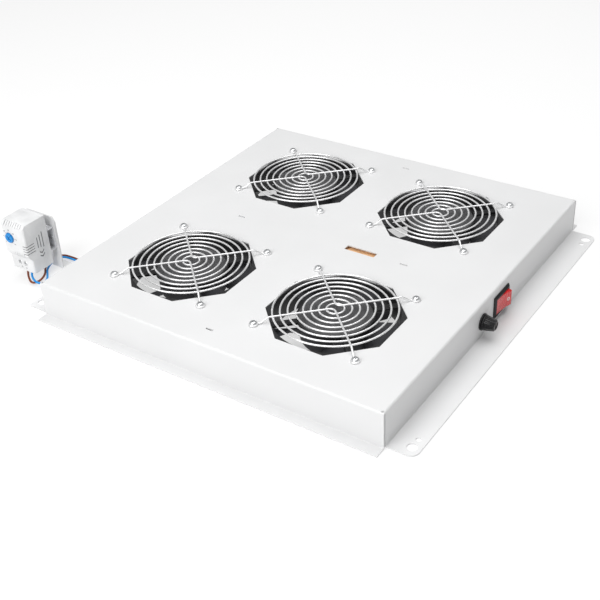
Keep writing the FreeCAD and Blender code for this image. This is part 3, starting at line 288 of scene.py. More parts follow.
@dataclass(frozen=True)
class Insulation(Grained):
    """Soft PVC on a lead, slightly wavy along its length."""

    patches = (3.0, 0.88, 1.1)
    sockets = {"Specular_IOR_Level": 0.5}

    def layers(self, shader: Shader) -> list[tuple[Socket, float, float]]:
        """The waves."""
        return [(shader.noise(1.2, 3.0), 0.06, 0.3)]


@dataclass(frozen=True)
class Laminate(Finish):
    """Paper laminate: fibres along the board."""

    def paint(self, shader: Shader) -> None:
        """Set up the shader."""
        fibres = shader.noise(0.8, 6.0, stretch=(9.0, 1.0, 1.0))
        shader.feed("Base Color", shader.blend(fibres, [(0.3, shade(self.colour, 0.72)),
                                                        (0.7, shade(self.colour, 1.2))]))
        shader.feed("Roughness", shader.between(fibres, *self.rough))
        shader.bump([(fibres, 0.04, 0.3)])


@dataclass(frozen=True)
class ClearGlass(Finish):
    """The glass of a fuse link, with a faint haze."""

    def paint(self, shader: Shader) -> None:
        """Set up the shader."""
        haze = shader.noise(2.0)
        shader.feed("Base Color", shader.blend(haze, [(0.3, shade(self.colour, 0.95)),
                                                      (0.7, self.colour)]))
        shader.feed("Roughness", shader.between(haze, *self.rough))
        shader.plain(Transmission_Weight=0.9, IOR=1.5)
        shader.bump([(shader.noise(1.0), 0.01, 0.2)])


@dataclass(frozen=True)
class Print(Grained):
    """Ink or foil laid on a surface, slightly uneven; the same finish also serves for painted
    shade.
    """

    patches = (5.0, 0.92, 1.08)

    def layers(self, shader: Shader) -> list[tuple[Socket, float, float]]:
        """The unevenness."""
        return [(shader.noise(0.5, 3.0), 0.01, 0.25)]


COAT = PowderCoat("powder_coat_white", "powder_coat", (0.74, 0.742, 0.745), (0.42, 0.52))
FRAME_BLACK = Moulded("fan_housing_black", "black_paint", (0.012, 0.012, 0.013), (0.45, 0.6), 0.6)
BLADE_BLACK = Moulded("impeller_black", "impeller_black", (0.016, 0.016, 0.017), (0.35, 0.5), 0.5)
MOTOR_FOIL = Print("motor_foil_grey", "black_paint", (0.075, 0.075, 0.078), (0.38, 0.5))
WIRE = Plated("bright_wire", "chrome_wire", (0.90, 0.90, 0.905), (0.2, 0.3), 0.5, 0.5)
ZINC = Plated("zinc_plate", "steel", (0.74, 0.75, 0.76), (0.22, 0.36), 0.3, 0.8)
RAIL = PowderCoat("rail_passivated", "steel", (0.62, 0.63, 0.65), (0.35, 0.45))
STACK = Plated("stator_steel", "steel", (0.42, 0.42, 0.44), (0.35, 0.5), 0.3)
BRONZE = Plated("bearing_bronze", "bronze", (0.50, 0.33, 0.15), (0.35, 0.5), 0.3)
BRASS = Plated("terminal_brass", "brass", (0.78, 0.60, 0.27), (0.22, 0.38), 0.3)
PANEL_BLACK = Moulded("panel_black", "black_plastic", (0.010, 0.010, 0.011), (0.28, 0.4), 0.4, 0.2)
ROCKER_RED = LampRed("rocker_red", "red_plastic", (0.80, 0.012, 0.016), (0.2, 0.34))
IVORY = Moulded("terminal_ivory", "ivory_plastic", (0.74, 0.70, 0.58), (0.4, 0.5))
BOARD = Laminate("brown_laminate", "laminate", (0.78, 0.46, 0.24), (0.4, 0.55))
CASE_GREY = Moulded("case_light_grey", "grey_plastic", (0.76, 0.765, 0.77), (0.42, 0.52), 0.3, 0.2)
DIAL_BLUE = Moulded("dial_blue", "blue_plastic", (0.0, 0.25, 0.66), (0.25, 0.36), 0.4, 0.2)
GLASS = ClearGlass("fuse_glass", "glass", (0.85, 0.90, 0.90), (0.02, 0.08))
RUBBER = Moulded("grommet_rubber", "rubber", (0.018, 0.018, 0.018), (0.6, 0.75), 0.5)
BROWN_LEAD = Insulation("lead_brown_pvc", "brown_pvc", (0.22, 0.045, 0.008), (0.35, 0.45))
BLUE_LEAD = Insulation("lead_blue_pvc", "blue_pvc", (0.0, 0.27, 0.70), (0.35, 0.45))
BLACK_LEAD = Insulation("lead_black_pvc", "black_pvc", (0.015, 0.015, 0.016), (0.38, 0.5))
RED_LEAD = Insulation("lead_red_pvc", "black_pvc", (0.45, 0.012, 0.01), (0.38, 0.5))
# Printed marks on the dial and the case; also painted shade on the floors of the thermostat's grip
# lines.
PRINT_AND_SHADE_GREY = Print("ink_grey", "grey_plastic", (0.10, 0.10, 0.11), (0.4, 0.5))
INK_WHITE = Print("ink_white", "red_plastic", (0.85, 0.80, 0.78), (0.35, 0.45))


# ---------------------------------------------------------------- mesh tools


def settled(thing: bpy.types.Object) -> Mesh:
    """An object's mesh with its modifiers applied; the object is removed.

    Args:
        thing: An object with modifiers.

    Returns:
        A plain mesh with the same materials.
    """
    bpy.context.view_layer.update()
    graph = bpy.context.evaluated_depsgraph_get()
    mesh = bpy.data.meshes.new_from_object(thing.evaluated_get(graph))
    thing.modifiers.clear()
    bpy.data.objects.remove(thing)
    return mesh


def shown(name: str, data: bpy.types.ID) -> bpy.types.Object:
    """A new object in the scene."""
    thing = bpy.data.objects.new(name, data)
    bpy.context.scene.collection.objects.link(thing)
    return thing


def scratch(mesh: Mesh) -> bpy.types.Object:
    """A working object that holds a mesh."""
    return shown("scratch", mesh)


def turned(degrees: float, axis: str) -> Matrix:
    """A turn about one of the axes."""
    return Matrix.Rotation(math.radians(degrees), 4, axis)


def mesh_of(name: str, points: Sequence[Sequence[float]], faces: Sequence[Sequence[int]],
            collapse: bool = False) -> Mesh:
    """A mesh from points in millimetres, with its faces turned outwards.

    Args:
        name: The mesh's name.
        points: Its corners, where some may fall together.
        faces: Each face's corners, by number.
        collapse: Faces without an area are taken out.

    Returns:
        The mesh.
    """
    mesh = bpy.data.meshes.new(name)
    mesh.from_pydata([Vector(p) * MM for p in points], [], faces)
    work = bmesh.new()
    work.from_mesh(mesh)
    bmesh.ops.remove_doubles(work, verts=work.verts, dist=1e-7)
    if collapse:
        bmesh.ops.dissolve_degenerate(work, edges=work.edges, dist=1e-8)
    bmesh.ops.recalc_face_normals(work, faces=work.faces)
    work.to_mesh(mesh)
    work.free()
    return mesh


def prism(name: str, loop: Sequence[tuple[float, float]], low: float, high: float,
          axis: int = 2) -> Mesh:
    """A flat outline given thickness.

    Args:
        name: The mesh's name.
        loop: The outline, in millimetres, across the two other axes in order.
        low: Where the thickness starts.
        high: Where it ends.
        axis: 0, 1 or 2, the axis that the thickness is along.

    Returns:
        A closed mesh.
    """
    count = len(loop)
    points = []
    for level in (low, high):
        for a, b in loop:
            point = [a, b]
            point.insert(axis, level)
            points.append(point)
    faces = [tuple(range(count))[::-1], tuple(range(count, count * 2))]
    faces += [(i, (i + 1) % count, count + (i + 1) % count, count + i) for i in range(count)]
    return mesh_of(name, points, faces)


def boxes(name: str, spans: Iterable[tuple[Point, Point]]) -> Mesh:
    """Several boxes in one mesh, from their lowest and highest corners in millimetres."""
    points, faces = [], []
    sides = ((0, 2, 3, 1), (4, 5, 7, 6), (0, 1, 5, 4), (2, 6, 7, 3), (0, 4, 6, 2), (1, 3, 7, 5))
    for low, high in spans:
        first = len(points)
        points += [(x, y, z) for z in (low[2], high[2]) for y in (low[1], high[1])
                   for x in (low[0], high[0])]
        faces += [tuple(first + i for i in side) for side in sides]
    return mesh_of(name, points, faces)


def lathe(name: str, profile: Sequence[tuple[float, float]], sides: int = 64) -> Mesh:
    """A turned shape about Z.

    Args:
        name: The mesh's name.
        profile: Radius and height of each point, in millimetres; it closes on itself.
        sides: Number of sides.

    Returns:
        A closed mesh.
    """
    points, faces = [], []
    for radius, height in profile:
        for i in range(sides):
            angle = 2 * math.pi * i / sides
            points.append((radius * math.cos(angle), radius * math.sin(angle), height))
    rows = len(profile)
    for row in range(rows):
        after = (row + 1) % rows
        if profile[row][0] < 1e-6 and profile[after][0] < 1e-6:
            continue
        for i in range(sides):
            j = (i + 1) % sides
            faces.append((row * sides + i, row * sides + j, after * sides + j, after * sides + i))
    return mesh_of(name, points, faces, collapse=True)


def joined(name: str, meshes: Sequence[Mesh]) -> Mesh:
    """Several meshes put into one."""
    work = bmesh.new()
    for mesh in meshes:
        work.from_mesh(mesh)
    whole = bpy.data.meshes.new(name)
    work.to_mesh(whole)
    work.free()
    return whole


def shifted(mesh: Mesh, x: float = 0.0, y: float = 0.0, z: float = 0.0,
            turn: Matrix | None = None) -> Mesh:
    """The mesh turned, then moved by millimetres."""
    mesh.transform(Matrix.Translation(Vector((x, y, z)) * MM) @ (turn or Matrix.Identity(4)))
    return mesh


def carved(mesh: Mesh, cutter: Mesh) -> Mesh:
    """One mesh cut by another."""
    body, tool = scratch(mesh), scratch(cutter)
    step = body.modifiers.new("cut", "BOOLEAN")
    step.operation = "DIFFERENCE"
    step.solver = "EXACT"
    step.use_self = True
    step.object = tool
    result = settled(body)
    bpy.data.objects.remove(tool)
    return result


def rounded(mesh: Mesh, width: float, rings: int = 2, angle: float = 28.0) -> Mesh:
    """The mesh with its sharp edges rounded by a width in millimetres."""
    body = scratch(mesh)
    step = body.modifiers.new("edges", "BEVEL")
    step.width = width * MM
    step.segments = rings
    step.limit_method = "ANGLE"
    step.angle_limit = math.radians(angle)
    step.use_clamp_overlap = True
    return settled(body)


def traced(node: str) -> Mesh:
    """A copy of a solid's mesh, with its loose triangles merged into whole faces."""
    work = bmesh.new()
    work.from_mesh(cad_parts[node].data)
    bmesh.ops.remove_doubles(work, verts=work.verts, dist=2e-6)
    bmesh.ops.dissolve_limit(work, angle_limit=math.radians(0.6), verts=work.verts,
                             edges=work.edges)
    mesh = bpy.data.meshes.new(f"{node}_copy")
    work.to_mesh(mesh)
    work.free()
    return mesh


def piece(name: str, mesh: Mesh, finish: Finish, body: str = "tray",
          stands_for: Sequence[str] = (), smooth: float = 32.0, level: bool = False
          ) -> bpy.types.Object:
    """Put a finished piece into the scene and report it.

    Args:
        name: The piece's name.
        mesh: Its mesh, in place.
        finish: Its finish.
        body: The moving body that it rides on.
        stands_for: Solids that it is shown instead of.
        smooth: Faces that meet at less than this angle are shaded as one, in degrees.
        level: Large faces keep their own shading up to their rounded edges.

    Returns:
        The piece's object.
    """
    mesh.name = name
    mesh.materials.clear()
    mesh.materials.append(finish.material())
    mesh.shade_smooth()
    mesh.set_sharp_from_angle(angle=math.radians(smooth))
    if level:
        work = scratch(mesh)
        step = work.modifiers.new("level", "WEIGHTED_NORMAL")
        step.keep_sharp = True
        mesh = settled(work)
        mesh.name = name
    thing = shown(name, mesh)
    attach(thing, body)
    if stands_for:
        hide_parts(*stands_for)
    log.info("%-24s %6d faces, on %s", name, len(mesh.polygons), body)
    return thing


def eased(node: str, finish: Finish, width: float = 0.25, body: str = "tray", rings: int = 2
          ) -> bpy.types.Object:
    """Show a solid with rounded edges in its finish."""
    mesh = rounded(traced(node), width, rings)
    return piece(f"{node}_skin", mesh, finish, body, [node], level=True)


class Recipe:
    """A geometry node tree with named sizes, run once to give a plain mesh."""

    def __init__(self, name: str, **sizes: float | int) -> None:
        """Start the tree.

        Args:
            name: The tree's name.
            **sizes: Its inputs with their values; lengths are in metres.
        """
        self.name = name
        self.tree = bpy.data.node_groups.new(name, "GeometryNodeTree")
        sockets = self.tree.interface
        sockets.new_socket("Geometry", in_out="INPUT", socket_type="NodeSocketGeometry")
        self.values = []
        for label, value in sizes.items():
            kind = "NodeSocketInt" if isinstance(value, int) else "NodeSocketFloat"
            item = sockets.new_socket(label, in_out="INPUT", socket_type=kind)
            self.values.append((item.identifier, value))
        sockets.new_socket("Geometry", in_out="OUTPUT", socket_type="NodeSocketGeometry")
        self.given = self.tree.nodes.new("NodeGroupInput")
        self.end = self.tree.nodes.new("NodeGroupOutput")

    def size(self, label: str) -> Socket:
        """The socket of a named size."""
        return self.given.outputs[label]

    def node(self, kind: str, feeds: dict[str | int, object], **settings: object
             ) -> bpy.types.Node:
        """Add a node.

        Args:
            kind: The node's type.
            feeds: Its inputs by name or number, each a socket to join or a value to set.
            **settings: Its properties.

        Returns:
            The node.
        """
        made = self.tree.nodes.new(kind)
        for name, value in settings.items():
            setattr(made, name, value)
        for name, value in feeds.items():
            if isinstance(value, Socket):
                self.tree.links.new(value, made.inputs[name])
            else:
                made.inputs[name].default_value = value
        return made

    def sum(self, operation: str, first: object, second: object) -> Socket:
        """The result of a sum of two numbers."""
        return self.node("ShaderNodeMath", {0: first, 1: second}, operation=operation).outputs[0]

    def vector(self, x: object = 0.0, y: object = 0.0, z: object = 0.0) -> Socket:
        """Three numbers as one vector."""
        return self.node("ShaderNodeCombineXYZ", {0: x, 1: y, 2: z}).outputs[0]

    def index(self) -> Socket:
        """The number of each point."""
        return self.node("GeometryNodeInputIndex", {}).outputs[0]

    def wire(self, curve: Socket, radius: object, sides: int = 14) -> Socket:
        """A round wire along a curve."""
        section = self.node("GeometryNodeCurvePrimitiveCircle",
                            {"Resolution": sides, "Radius": radius}, mode="RADIUS")
        wire = self.node("GeometryNodeCurveToMesh",
                         {"Curve": curve, "Profile Curve": section.outputs["Curve"],
                          "Fill Caps": True})
        return wire.outputs["Mesh"]

    def together(self, *parts: Socket) -> Socket:
        """Several geometries as one."""
        join = self.tree.nodes.new("GeometryNodeJoinGeometry")
        for part in parts:
            self.tree.links.new(part, join.inputs[0])
        return join.outputs[0]

    def placed(self, points: Socket, master: Socket,
               **feeds: object) -> Socket:
        """A copy of the master at each point."""
        given = {"Points": points, "Instance": master}
        given.update({name.capitalize(): value for name, value in feeds.items()})
        return self.node("GeometryNodeInstanceOnPoints", given).outputs["Instances"]

    def thing(self, source: bpy.types.Object) -> Socket:
        """The geometry of a working object."""
        info = self.node("GeometryNodeObjectInfo", {"Object": source},
                         transform_space="ORIGINAL")
        return info.outputs["Geometry"]

    def run(self, geometry: Socket, finish: Finish,
            carrier: Mesh | None = None) -> Mesh:
        """Finish the tree and run it.

        Args:
            geometry: What the tree gives.
            finish: The finish that it gets.
            carrier: The mesh that the tree starts from, if any.

        Returns:
            A plain mesh.
        """
        real = self.node("GeometryNodeRealizeInstances", {"Geometry": geometry})
        dressed = self.node("GeometryNodeSetMaterial",
                            {"Geometry": real.outputs["Geometry"], "Material": finish.material()})
        self.tree.links.new(dressed.outputs["Geometry"], self.end.inputs["Geometry"])
        thing = scratch(carrier or bpy.data.meshes.new(self.name))
        step = thing.modifiers.new(self.name, "NODES")
        step.node_group = self.tree
        for identifier, value in self.values:
            step[identifier] = value
        return settled(thing)


def around(name: str, label: str, count: int, master: Mesh, finish: Finish) -> Mesh:
    """Copies of a mesh, evenly spaced about Z.

    Args:
        name: The recipe's name.
        label: What the recipe calls the number of copies.
        count: The number of copies.
        master: The mesh to copy, in its first place.
        finish: The copies' finish.

    Returns:
        A plain mesh of them all.
    """
    source = scratch(master)
    recipe = Recipe(name, **{label: count})
    spots = recipe.node("GeometryNodePoints", {"Count": recipe.size(label)})
    step = recipe.sum("DIVIDE", 2 * math.pi, recipe.size(label))
    turn = recipe.vector(z=recipe.sum("MULTIPLY", recipe.index(), step))
    ring = recipe.placed(spots.outputs["Points"], recipe.thing(source), rotation=turn)
    mesh = recipe.run(ring, finish)
    bpy.data.objects.remove(source)
    return mesh


def spot_mesh(name: str, points: Sequence[Sequence[float]], chained: bool = False) -> Mesh:
    """Points in millimetres for a recipe to work on, loose or chained by edges."""
    mesh = bpy.data.meshes.new(name)
    edges = [(i, i + 1) for i in range(len(points) - 1)] if chained else []
    mesh.from_pydata([Vector(p) * MM for p in points], edges, [])
    return mesh


def flowing(name: str, points: Sequence[Sequence[float]], radius: float) -> Mesh:
    """A round lead along a smooth line.

    Args:
        name: The mesh's name.
        points: The line's control points, in millimetres.
        radius: The lead's radius.

    Returns:
        A closed tube.
    """
    curve = bpy.data.curves.new(name, "CURVE")
    curve.dimensions = "3D"
    curve.bevel_depth = radius * MM
    curve.bevel_resolution = 4
    curve.resolution_u = 10
    curve.use_fill_caps = True
    spline = curve.splines.new("NURBS")
    spline.points.add(len(points) - 1)
    for place, point in zip(spline.points, points):
        place.co = (*(Vector(point) * MM), 1.0)
    spline.order_u = 3
    spline.use_endpoint_u = True
    return settled(shown(name, curve))


# ---------------------------------------------------------------- the tray and its fans


@dataclass
class Tray:
    """The folded sheet that carries everything."""

    edge: float = 0.28

    def dress(self) -> None:
        """Show the sheet with its cut edges eased and coated."""
        eased("tray_shell", COAT, self.edge)


@dataclass
class Fan:
    """One axial fan: housing, motor with its foil disc, impeller, shaft and bush."""

    number: int
    x: float
    y: float
    turned: float
    top: float = 35.8
    half: float = 59.8
    corner: float = 5.0
    depth: float = 25.0
    tunnel: float = 57.6
    base: float = 35.5
    base_drop: float = 0.6
    base_thick: float = 3.0
    strut: float = 7.0
    foil: float = 33.2
    hub: float = 33.0
    tip: float = 56.4
    blades: int = 5
    root: float = 31.6
    spread: float = 28.4
    chord: float = 18.0
    chord_gain: float = 22.0
    camber: float = 2.6
    trailing: float = -23.8
    rise: float = 18.6
    blade_thick: float = 1.3

    def housing(self) -> Mesh:
        """The square housing with its flared tunnel, screw holes, struts and motor base."""
        h, c = self.half, self.corner
        square = [(h, c - h), (h, h - c), (h - c, h), (c - h, h), (-h, h - c), (-h, c - h),
                  (c - h, -h), (h - c, -h)]
        block = prism("housing", square, -self.depth, 0.0)
        bore = lathe("bore", [(0, -self.depth - 1), (self.tunnel + 0.9, -self.depth - 1),
                              (self.tunnel + 0.9, -self.depth + 0.2),
                              (self.tunnel, -self.depth + 3.2), (self.tunnel, -2.8),
                              (self.tunnel + 0.9, -0.2), (self.tunnel + 0.9, 1.0), (0, 1.0)], 96)
        holes = [shifted(lathe("hole", [(0, -self.depth - 1), (2.1, -self.depth - 1), (2.1, 1.0),
                                        (0, 1.0)], 16), FAN_SCREW * u, FAN_SCREW * v)
                 for u in (-1, 1) for v in (-1, 1)]
        body = carved(block, joined("bores", [bore, *holes]))
        floor = -self.base_drop - self.base_thick
        disc = lathe("disc", [(6.5, floor), (self.base - 0.6, floor), (self.base, floor + 0.6),
                              (self.base, -self.base_drop - 0.5),
                              (self.base - 0.5, -self.base_drop), (0.0, -self.base_drop),
                              (0.0, -self.base_drop - 1.0), (6.5, -self.base_drop - 1.0)], 72)
        parts = [body, disc]
        for i in range(4):
            arm = boxes("arm", [((self.base - 2.0, -self.strut / 2, floor),
                                 (self.tunnel + 1.0, self.strut / 2, -self.base_drop))])
            parts.append(rounded(shifted(arm, turn=turned(45 + 90 * i, "Z")), 0.7, 3))
        tube = lathe("tube", [(4.0, -19.2), (5.95, -19.2), (5.95, floor + 0.1),
                              (4.0, floor + 0.1)], 32)
        return joined("housing", [*parts, tube])

    def blade(self) -> Mesh:
        """One twisted, cambered blade, its tip trimmed to the tunnel."""
        stations, sections = 12, 10
        rows = []
        for k in range(sections + 1):
            share = k / sections
            upper, lower = [], []
            for j in range(stations + 1):
                way = j / stations
                radius = self.root + (self.tip - self.root) * share
                for _ in range(4):
                    out = (radius - self.root) / self.spread
                    run, camber = self.chord + self.chord_gain * out, self.camber + out
                    bow = math.sin(math.pi * way ** 0.868)
                    across = run * (way - 0.5) - camber * bow * 0.7
                    edge = math.sqrt(self.tip ** 2 - across ** 2)
                    radius = self.root + (edge - self.root) * share
                up = self.trailing + self.rise * way + camber * bow
                body = 0.35 + 0.65 * math.sin(math.pi * min(1.0, way * 1.02))
                thick = self.blade_thick * body
                upper.append((radius, across, up))
                lower.append((radius, across + thick * 0.8, up - thick * 0.6))
            rows.append(upper + lower[::-1])
        count = len(rows[0])
        points = [p for row in rows for p in row]
        faces = [tuple(range(count)), tuple(range((len(rows) - 1) * count, len(rows) * count))]
        for k in range(len(rows) - 1):
            for j in range(count):
                i = (j + 1) % count
                faces.append((k * count + j, k * count + i,
                              (k + 1) * count + i, (k + 1) * count + j))
        return mesh_of("blade", points, faces)

    def impeller(self) -> Mesh:
        """The hub cup with its blades set round it."""
        hub = lathe("hub", [(1.5, -24.0), (self.hub - 2.0, -24.0), (self.hub - 0.6, -23.4),
                            (self.hub, -22.0), (self.hub, -4.8), (self.hub - 1.6, -4.8),
                            (self.hub - 1.6, -22.0), (4.0, -22.0), (4.0, -19.5), (1.5, -19.5)], 72)
        blades = around("impeller_blades", "Blades", self.blades, self.blade(), BLADE_BLACK)
        wheel = joined("impeller", [hub, blades])
        return shifted(wheel, self.x, self.y, self.top, turned(self.turned, "Z"))

    def dress(self) -> None:
        """Show the fan's pieces."""
        n, body = self.number, f"fan_{self.number}"
        piece(f"fan_housing_{n}", shifted(self.housing(), self.x, self.y, self.top), FRAME_BLACK,
              stands_for=[f"fan_frame_{n}"])
        foil = lathe("foil", [(0.0, 0.02), (self.foil, 0.02), (self.foil, 0.16),
                              (self.foil - 0.1, 0.2), (0.0, 0.2)], 72)
        piece(f"motor_foil_{n}", shifted(foil, self.x, self.y, self.top - self.base_drop),
              MOTOR_FOIL)
        piece(f"impeller_{n}", self.impeller(), BLADE_BLACK, body, [f"fan_rotor_{n}"], 40.0)
        eased(f"fan_shaft_{n}", ZINC, 0.15, body)
        eased(f"fan_bush_{n}", BRONZE, 0.15)


@dataclass
class FingerGuard:
    """A guard of round wire: rings under two V-shaped spokes that end in eyes under the screws."""

    number: int
    x: float
    y: float
    plate: float = 37.0
    wire: float = 0.9
    rings: int = 8
    first: float = 8.1
    pitch: float = 6.9
    ring_level: float = 4.15
    spoke_level: float = 5.8
    lug: float = 74.25
    eye: float = 3.5
    apex: float = 2.0
    heel: float = 68.3
    knee: float = 61.0
    level_from: float = 56.0
    bend: float = 5.0

    def spoke(self, first: float, second: float) -> Mesh:
        """One spoke wire with its two eyes, from lug to lug past the middle.

        Args:
            first: The first lug's direction from the middle, in degrees.
            second: The second lug's direction.

        Returns:
            The wire's mesh.
        """
        low = self.wire
        ways = [Vector((math.cos(math.radians(a)), math.sin(math.radians(a)), 0.0))
                for a in (first, second)]
        middle = (ways[0] + ways[1]).normalized() * self.apex
        inner = []
        for way in ways:
            inner.append([way * (self.lug - self.eye) + Vector((0, 0, low)),
                          way * self.heel + Vector((0, 0, low - 0.02)),
                          way * self.knee + Vector((0, 0, self.spoke_level + 0.1)),
                          way * self.level_from + Vector((0, 0, self.spoke_level))])
        path = inner[0] + [middle + Vector((0, 0, self.spoke_level))] + inner[1][::-1]
        recipe = Recipe("guard_spoke", Wire=self.wire * MM, Bend=self.bend * MM, Eye=self.eye * MM)
        curve = recipe.node("GeometryNodeMeshToCurve", {"Mesh": recipe.given.outputs["Geometry"]})
        bent = recipe.node("GeometryNodeFilletCurve",
                           {"Curve": curve.outputs["Curve"], "Count": 6,
                            "Radius": recipe.size("Bend"), "Limit Radius": True}, mode="POLY")
        parts = [recipe.wire(bent.outputs["Curve"], recipe.size("Wire"))]
        for way in ways:
            ring = recipe.node("GeometryNodeCurvePrimitiveCircle",
                               {"Resolution": 28, "Radius": recipe.size("Eye")}, mode="RADIUS")
            eye = recipe.wire(ring.outputs["Curve"], recipe.size("Wire"))
            spot = (way * self.lug + Vector((0, 0, low))) * MM
            moved = recipe.node("GeometryNodeTransform", {"Geometry": eye, "Translation": spot})
            parts.append(moved.outputs["Geometry"])
        return recipe.run(recipe.together(*parts), WIRE, spot_mesh("spoke", path, chained=True))

    def hoops(self) -> Mesh:
        """The rings, evenly spaced from the middle out."""
        recipe = Recipe("guard_rings", Rings=self.rings, First=self.first * MM,
                        Pitch=self.pitch * MM, Wire=self.wire * MM, Level=self.ring_level * MM)
        level = recipe.vector(z=recipe.size("Level"))
        spots = recipe.node("GeometryNodePoints", {"Count": recipe.size("Rings"),
                                                   "Position": level})
        one = recipe.node("GeometryNodeCurvePrimitiveCircle", {"Resolution": 84, "Radius": 1.0},
                          mode="RADIUS")
        reach = recipe.sum("ADD", recipe.size("First"),
                           recipe.sum("MULTIPLY", recipe.index(), recipe.size("Pitch")))
        rings = recipe.placed(spots.outputs["Points"], one.outputs["Curve"],
                              scale=recipe.vector(reach, reach, reach))
        real = recipe.node("GeometryNodeRealizeInstances", {"Geometry": rings})
        return recipe.run(recipe.wire(real.outputs["Geometry"], recipe.size("Wire")), WIRE)

    def dress(self) -> None:
        """Show the guard."""
        wires = joined("guard", [self.hoops(), self.spoke(225.0, 315.0), self.spoke(135.0, 45.0)])
        piece(f"guard_wires_{self.number}", shifted(wires, self.x, self.y, self.plate), WIRE,
              stands_for=[f"finger_guard_{self.number}"], smooth=60.0)


@dataclass
class PanHeads:
    """Cross-recessed screws, all alike, set at given places."""

    name: str
    stands_for: str
    spots: list[Point]
    radius: float
    high: float
    shank: float = 1.8
    reach: float = 12.0
    turn: Matrix | None = None

    def master(self) -> Mesh:
        """One screw with a domed head and a cross recess, seated at z = 0."""
        r, h = self.radius, self.high
        dome = [(0.0, h), (r * 0.45, h * 0.97), (r * 0.72, h * 0.82), (r * 0.92, h * 0.5),
                (r, h * 0.18), (r * 0.97, 0.0)]
        shaft = [(0.0, 0.0)]
        if self.reach > 0:
            shaft = [(self.shank, 0.0), (self.shank, -self.reach + 1.2),
                     (self.shank * 0.4, -self.reach), (0.0, -self.reach)]
        head = lathe("head", dome + shaft, 24)
        arm, slot = r * 0.55, r * 0.11
        cross = boxes("cross", [((-arm, -slot, h * 0.45), (arm, slot, h + 1)),
                                ((-slot, -arm, h * 0.45), (slot, arm, h + 1))])
        return carved(head, cross)

    def dress(self, finish: Finish) -> None:
        """Show the screws, each turned to where its driver left it."""
        mesh = self.master()
        if self.turn:
            mesh.transform(self.turn)
        master = scratch(mesh)
        recipe = Recipe(f"{self.name}_set", Seed=7)
        turn = recipe.node("FunctionNodeRandomValue", {"Seed": recipe.size("Seed")},
                           data_type="FLOAT")
        turn.inputs[3].default_value = 3.1
        angle = recipe.vector(z=turn.outputs[1]) if self.turn is None else recipe.vector()
        heads = recipe.placed(recipe.given.outputs["Geometry"], recipe.thing(master),
                              rotation=angle)
        mesh = recipe.run(heads, finish, spot_mesh("spots", self.spots))
        bpy.data.objects.remove(master)
        piece(self.name, mesh, finish, stands_for=[self.stands_for], smooth=36.0)


# ---------------------------------------------------------------- switch and fuse


@dataclass
class RockerSwitch:
    """A lit rocker in a snap-in case."""

    y: float = 16.9
    z: float = 17.2
    face: float = 2.6
    end: float = 12.2
    half_high: float = 8.15
    overhang: float = 0.65
    mark_place: float = 6.6

    def crown(self, across: float) -> float:
        """How far the rocker's face stands out, at a place along it."""
        t = max(0.0, (across + self.end) / (2 * self.end))
        return self.face - 0.35 + 0.5 * t + 4.3 * t ** 2.3

    def rocker(self) -> Mesh:
        """The rocker with its hollow face, rounded at every edge."""
        near = -self.end - self.overhang
        loop = [(self.face - 4.4, -self.end + 1.0), (self.face - 1.6, near),
                (self.crown(-self.end), near)]
        steps = 16
        for i in range(1, steps + 1):
            across = -self.end + (2 * self.end - 1.6) * i / steps
            loop.append((self.crown(across), across))
        loop += [(self.face + 1.5, self.end - 0.9), (self.face - 3.2, self.end), (-5.7, 3.4),
                 (-5.7, -3.4)]
        body = prism("rocker", loop, -self.half_high, self.half_high)
        return shifted(rounded(body, 0.55, 3, 40.0), WALL, self.y, self.z)

    def mark(self) -> Mesh:
        """The plain ring printed near the rocker's raised end."""
        across = self.mark_place
        slope = self.crown(across + 0.5) - self.crown(across - 0.5)
        ring = lathe("mark", [(1.0, 0.0), (1.8, 0.0), (1.8, 0.07), (1.0, 0.07)], 32)
        turn = Matrix.Rotation(-math.atan(slope), 4, "Z") @ turned(90, "Y")
        return shifted(ring, WALL + self.crown(across), self.y + across, self.z, turn)

    def dress(self) -> None:
        """Show the switch."""
        eased("switch_case", PANEL_BLACK, 0.2, rings=3)
        piece("rocker_shell", self.rocker(), ROCKER_RED, "rocker", ["rocker"], 40.0)
        piece("rocker_mark", self.mark(), INK_WHITE, "rocker")
        eased("switch_tabs", BRASS, 0.12)


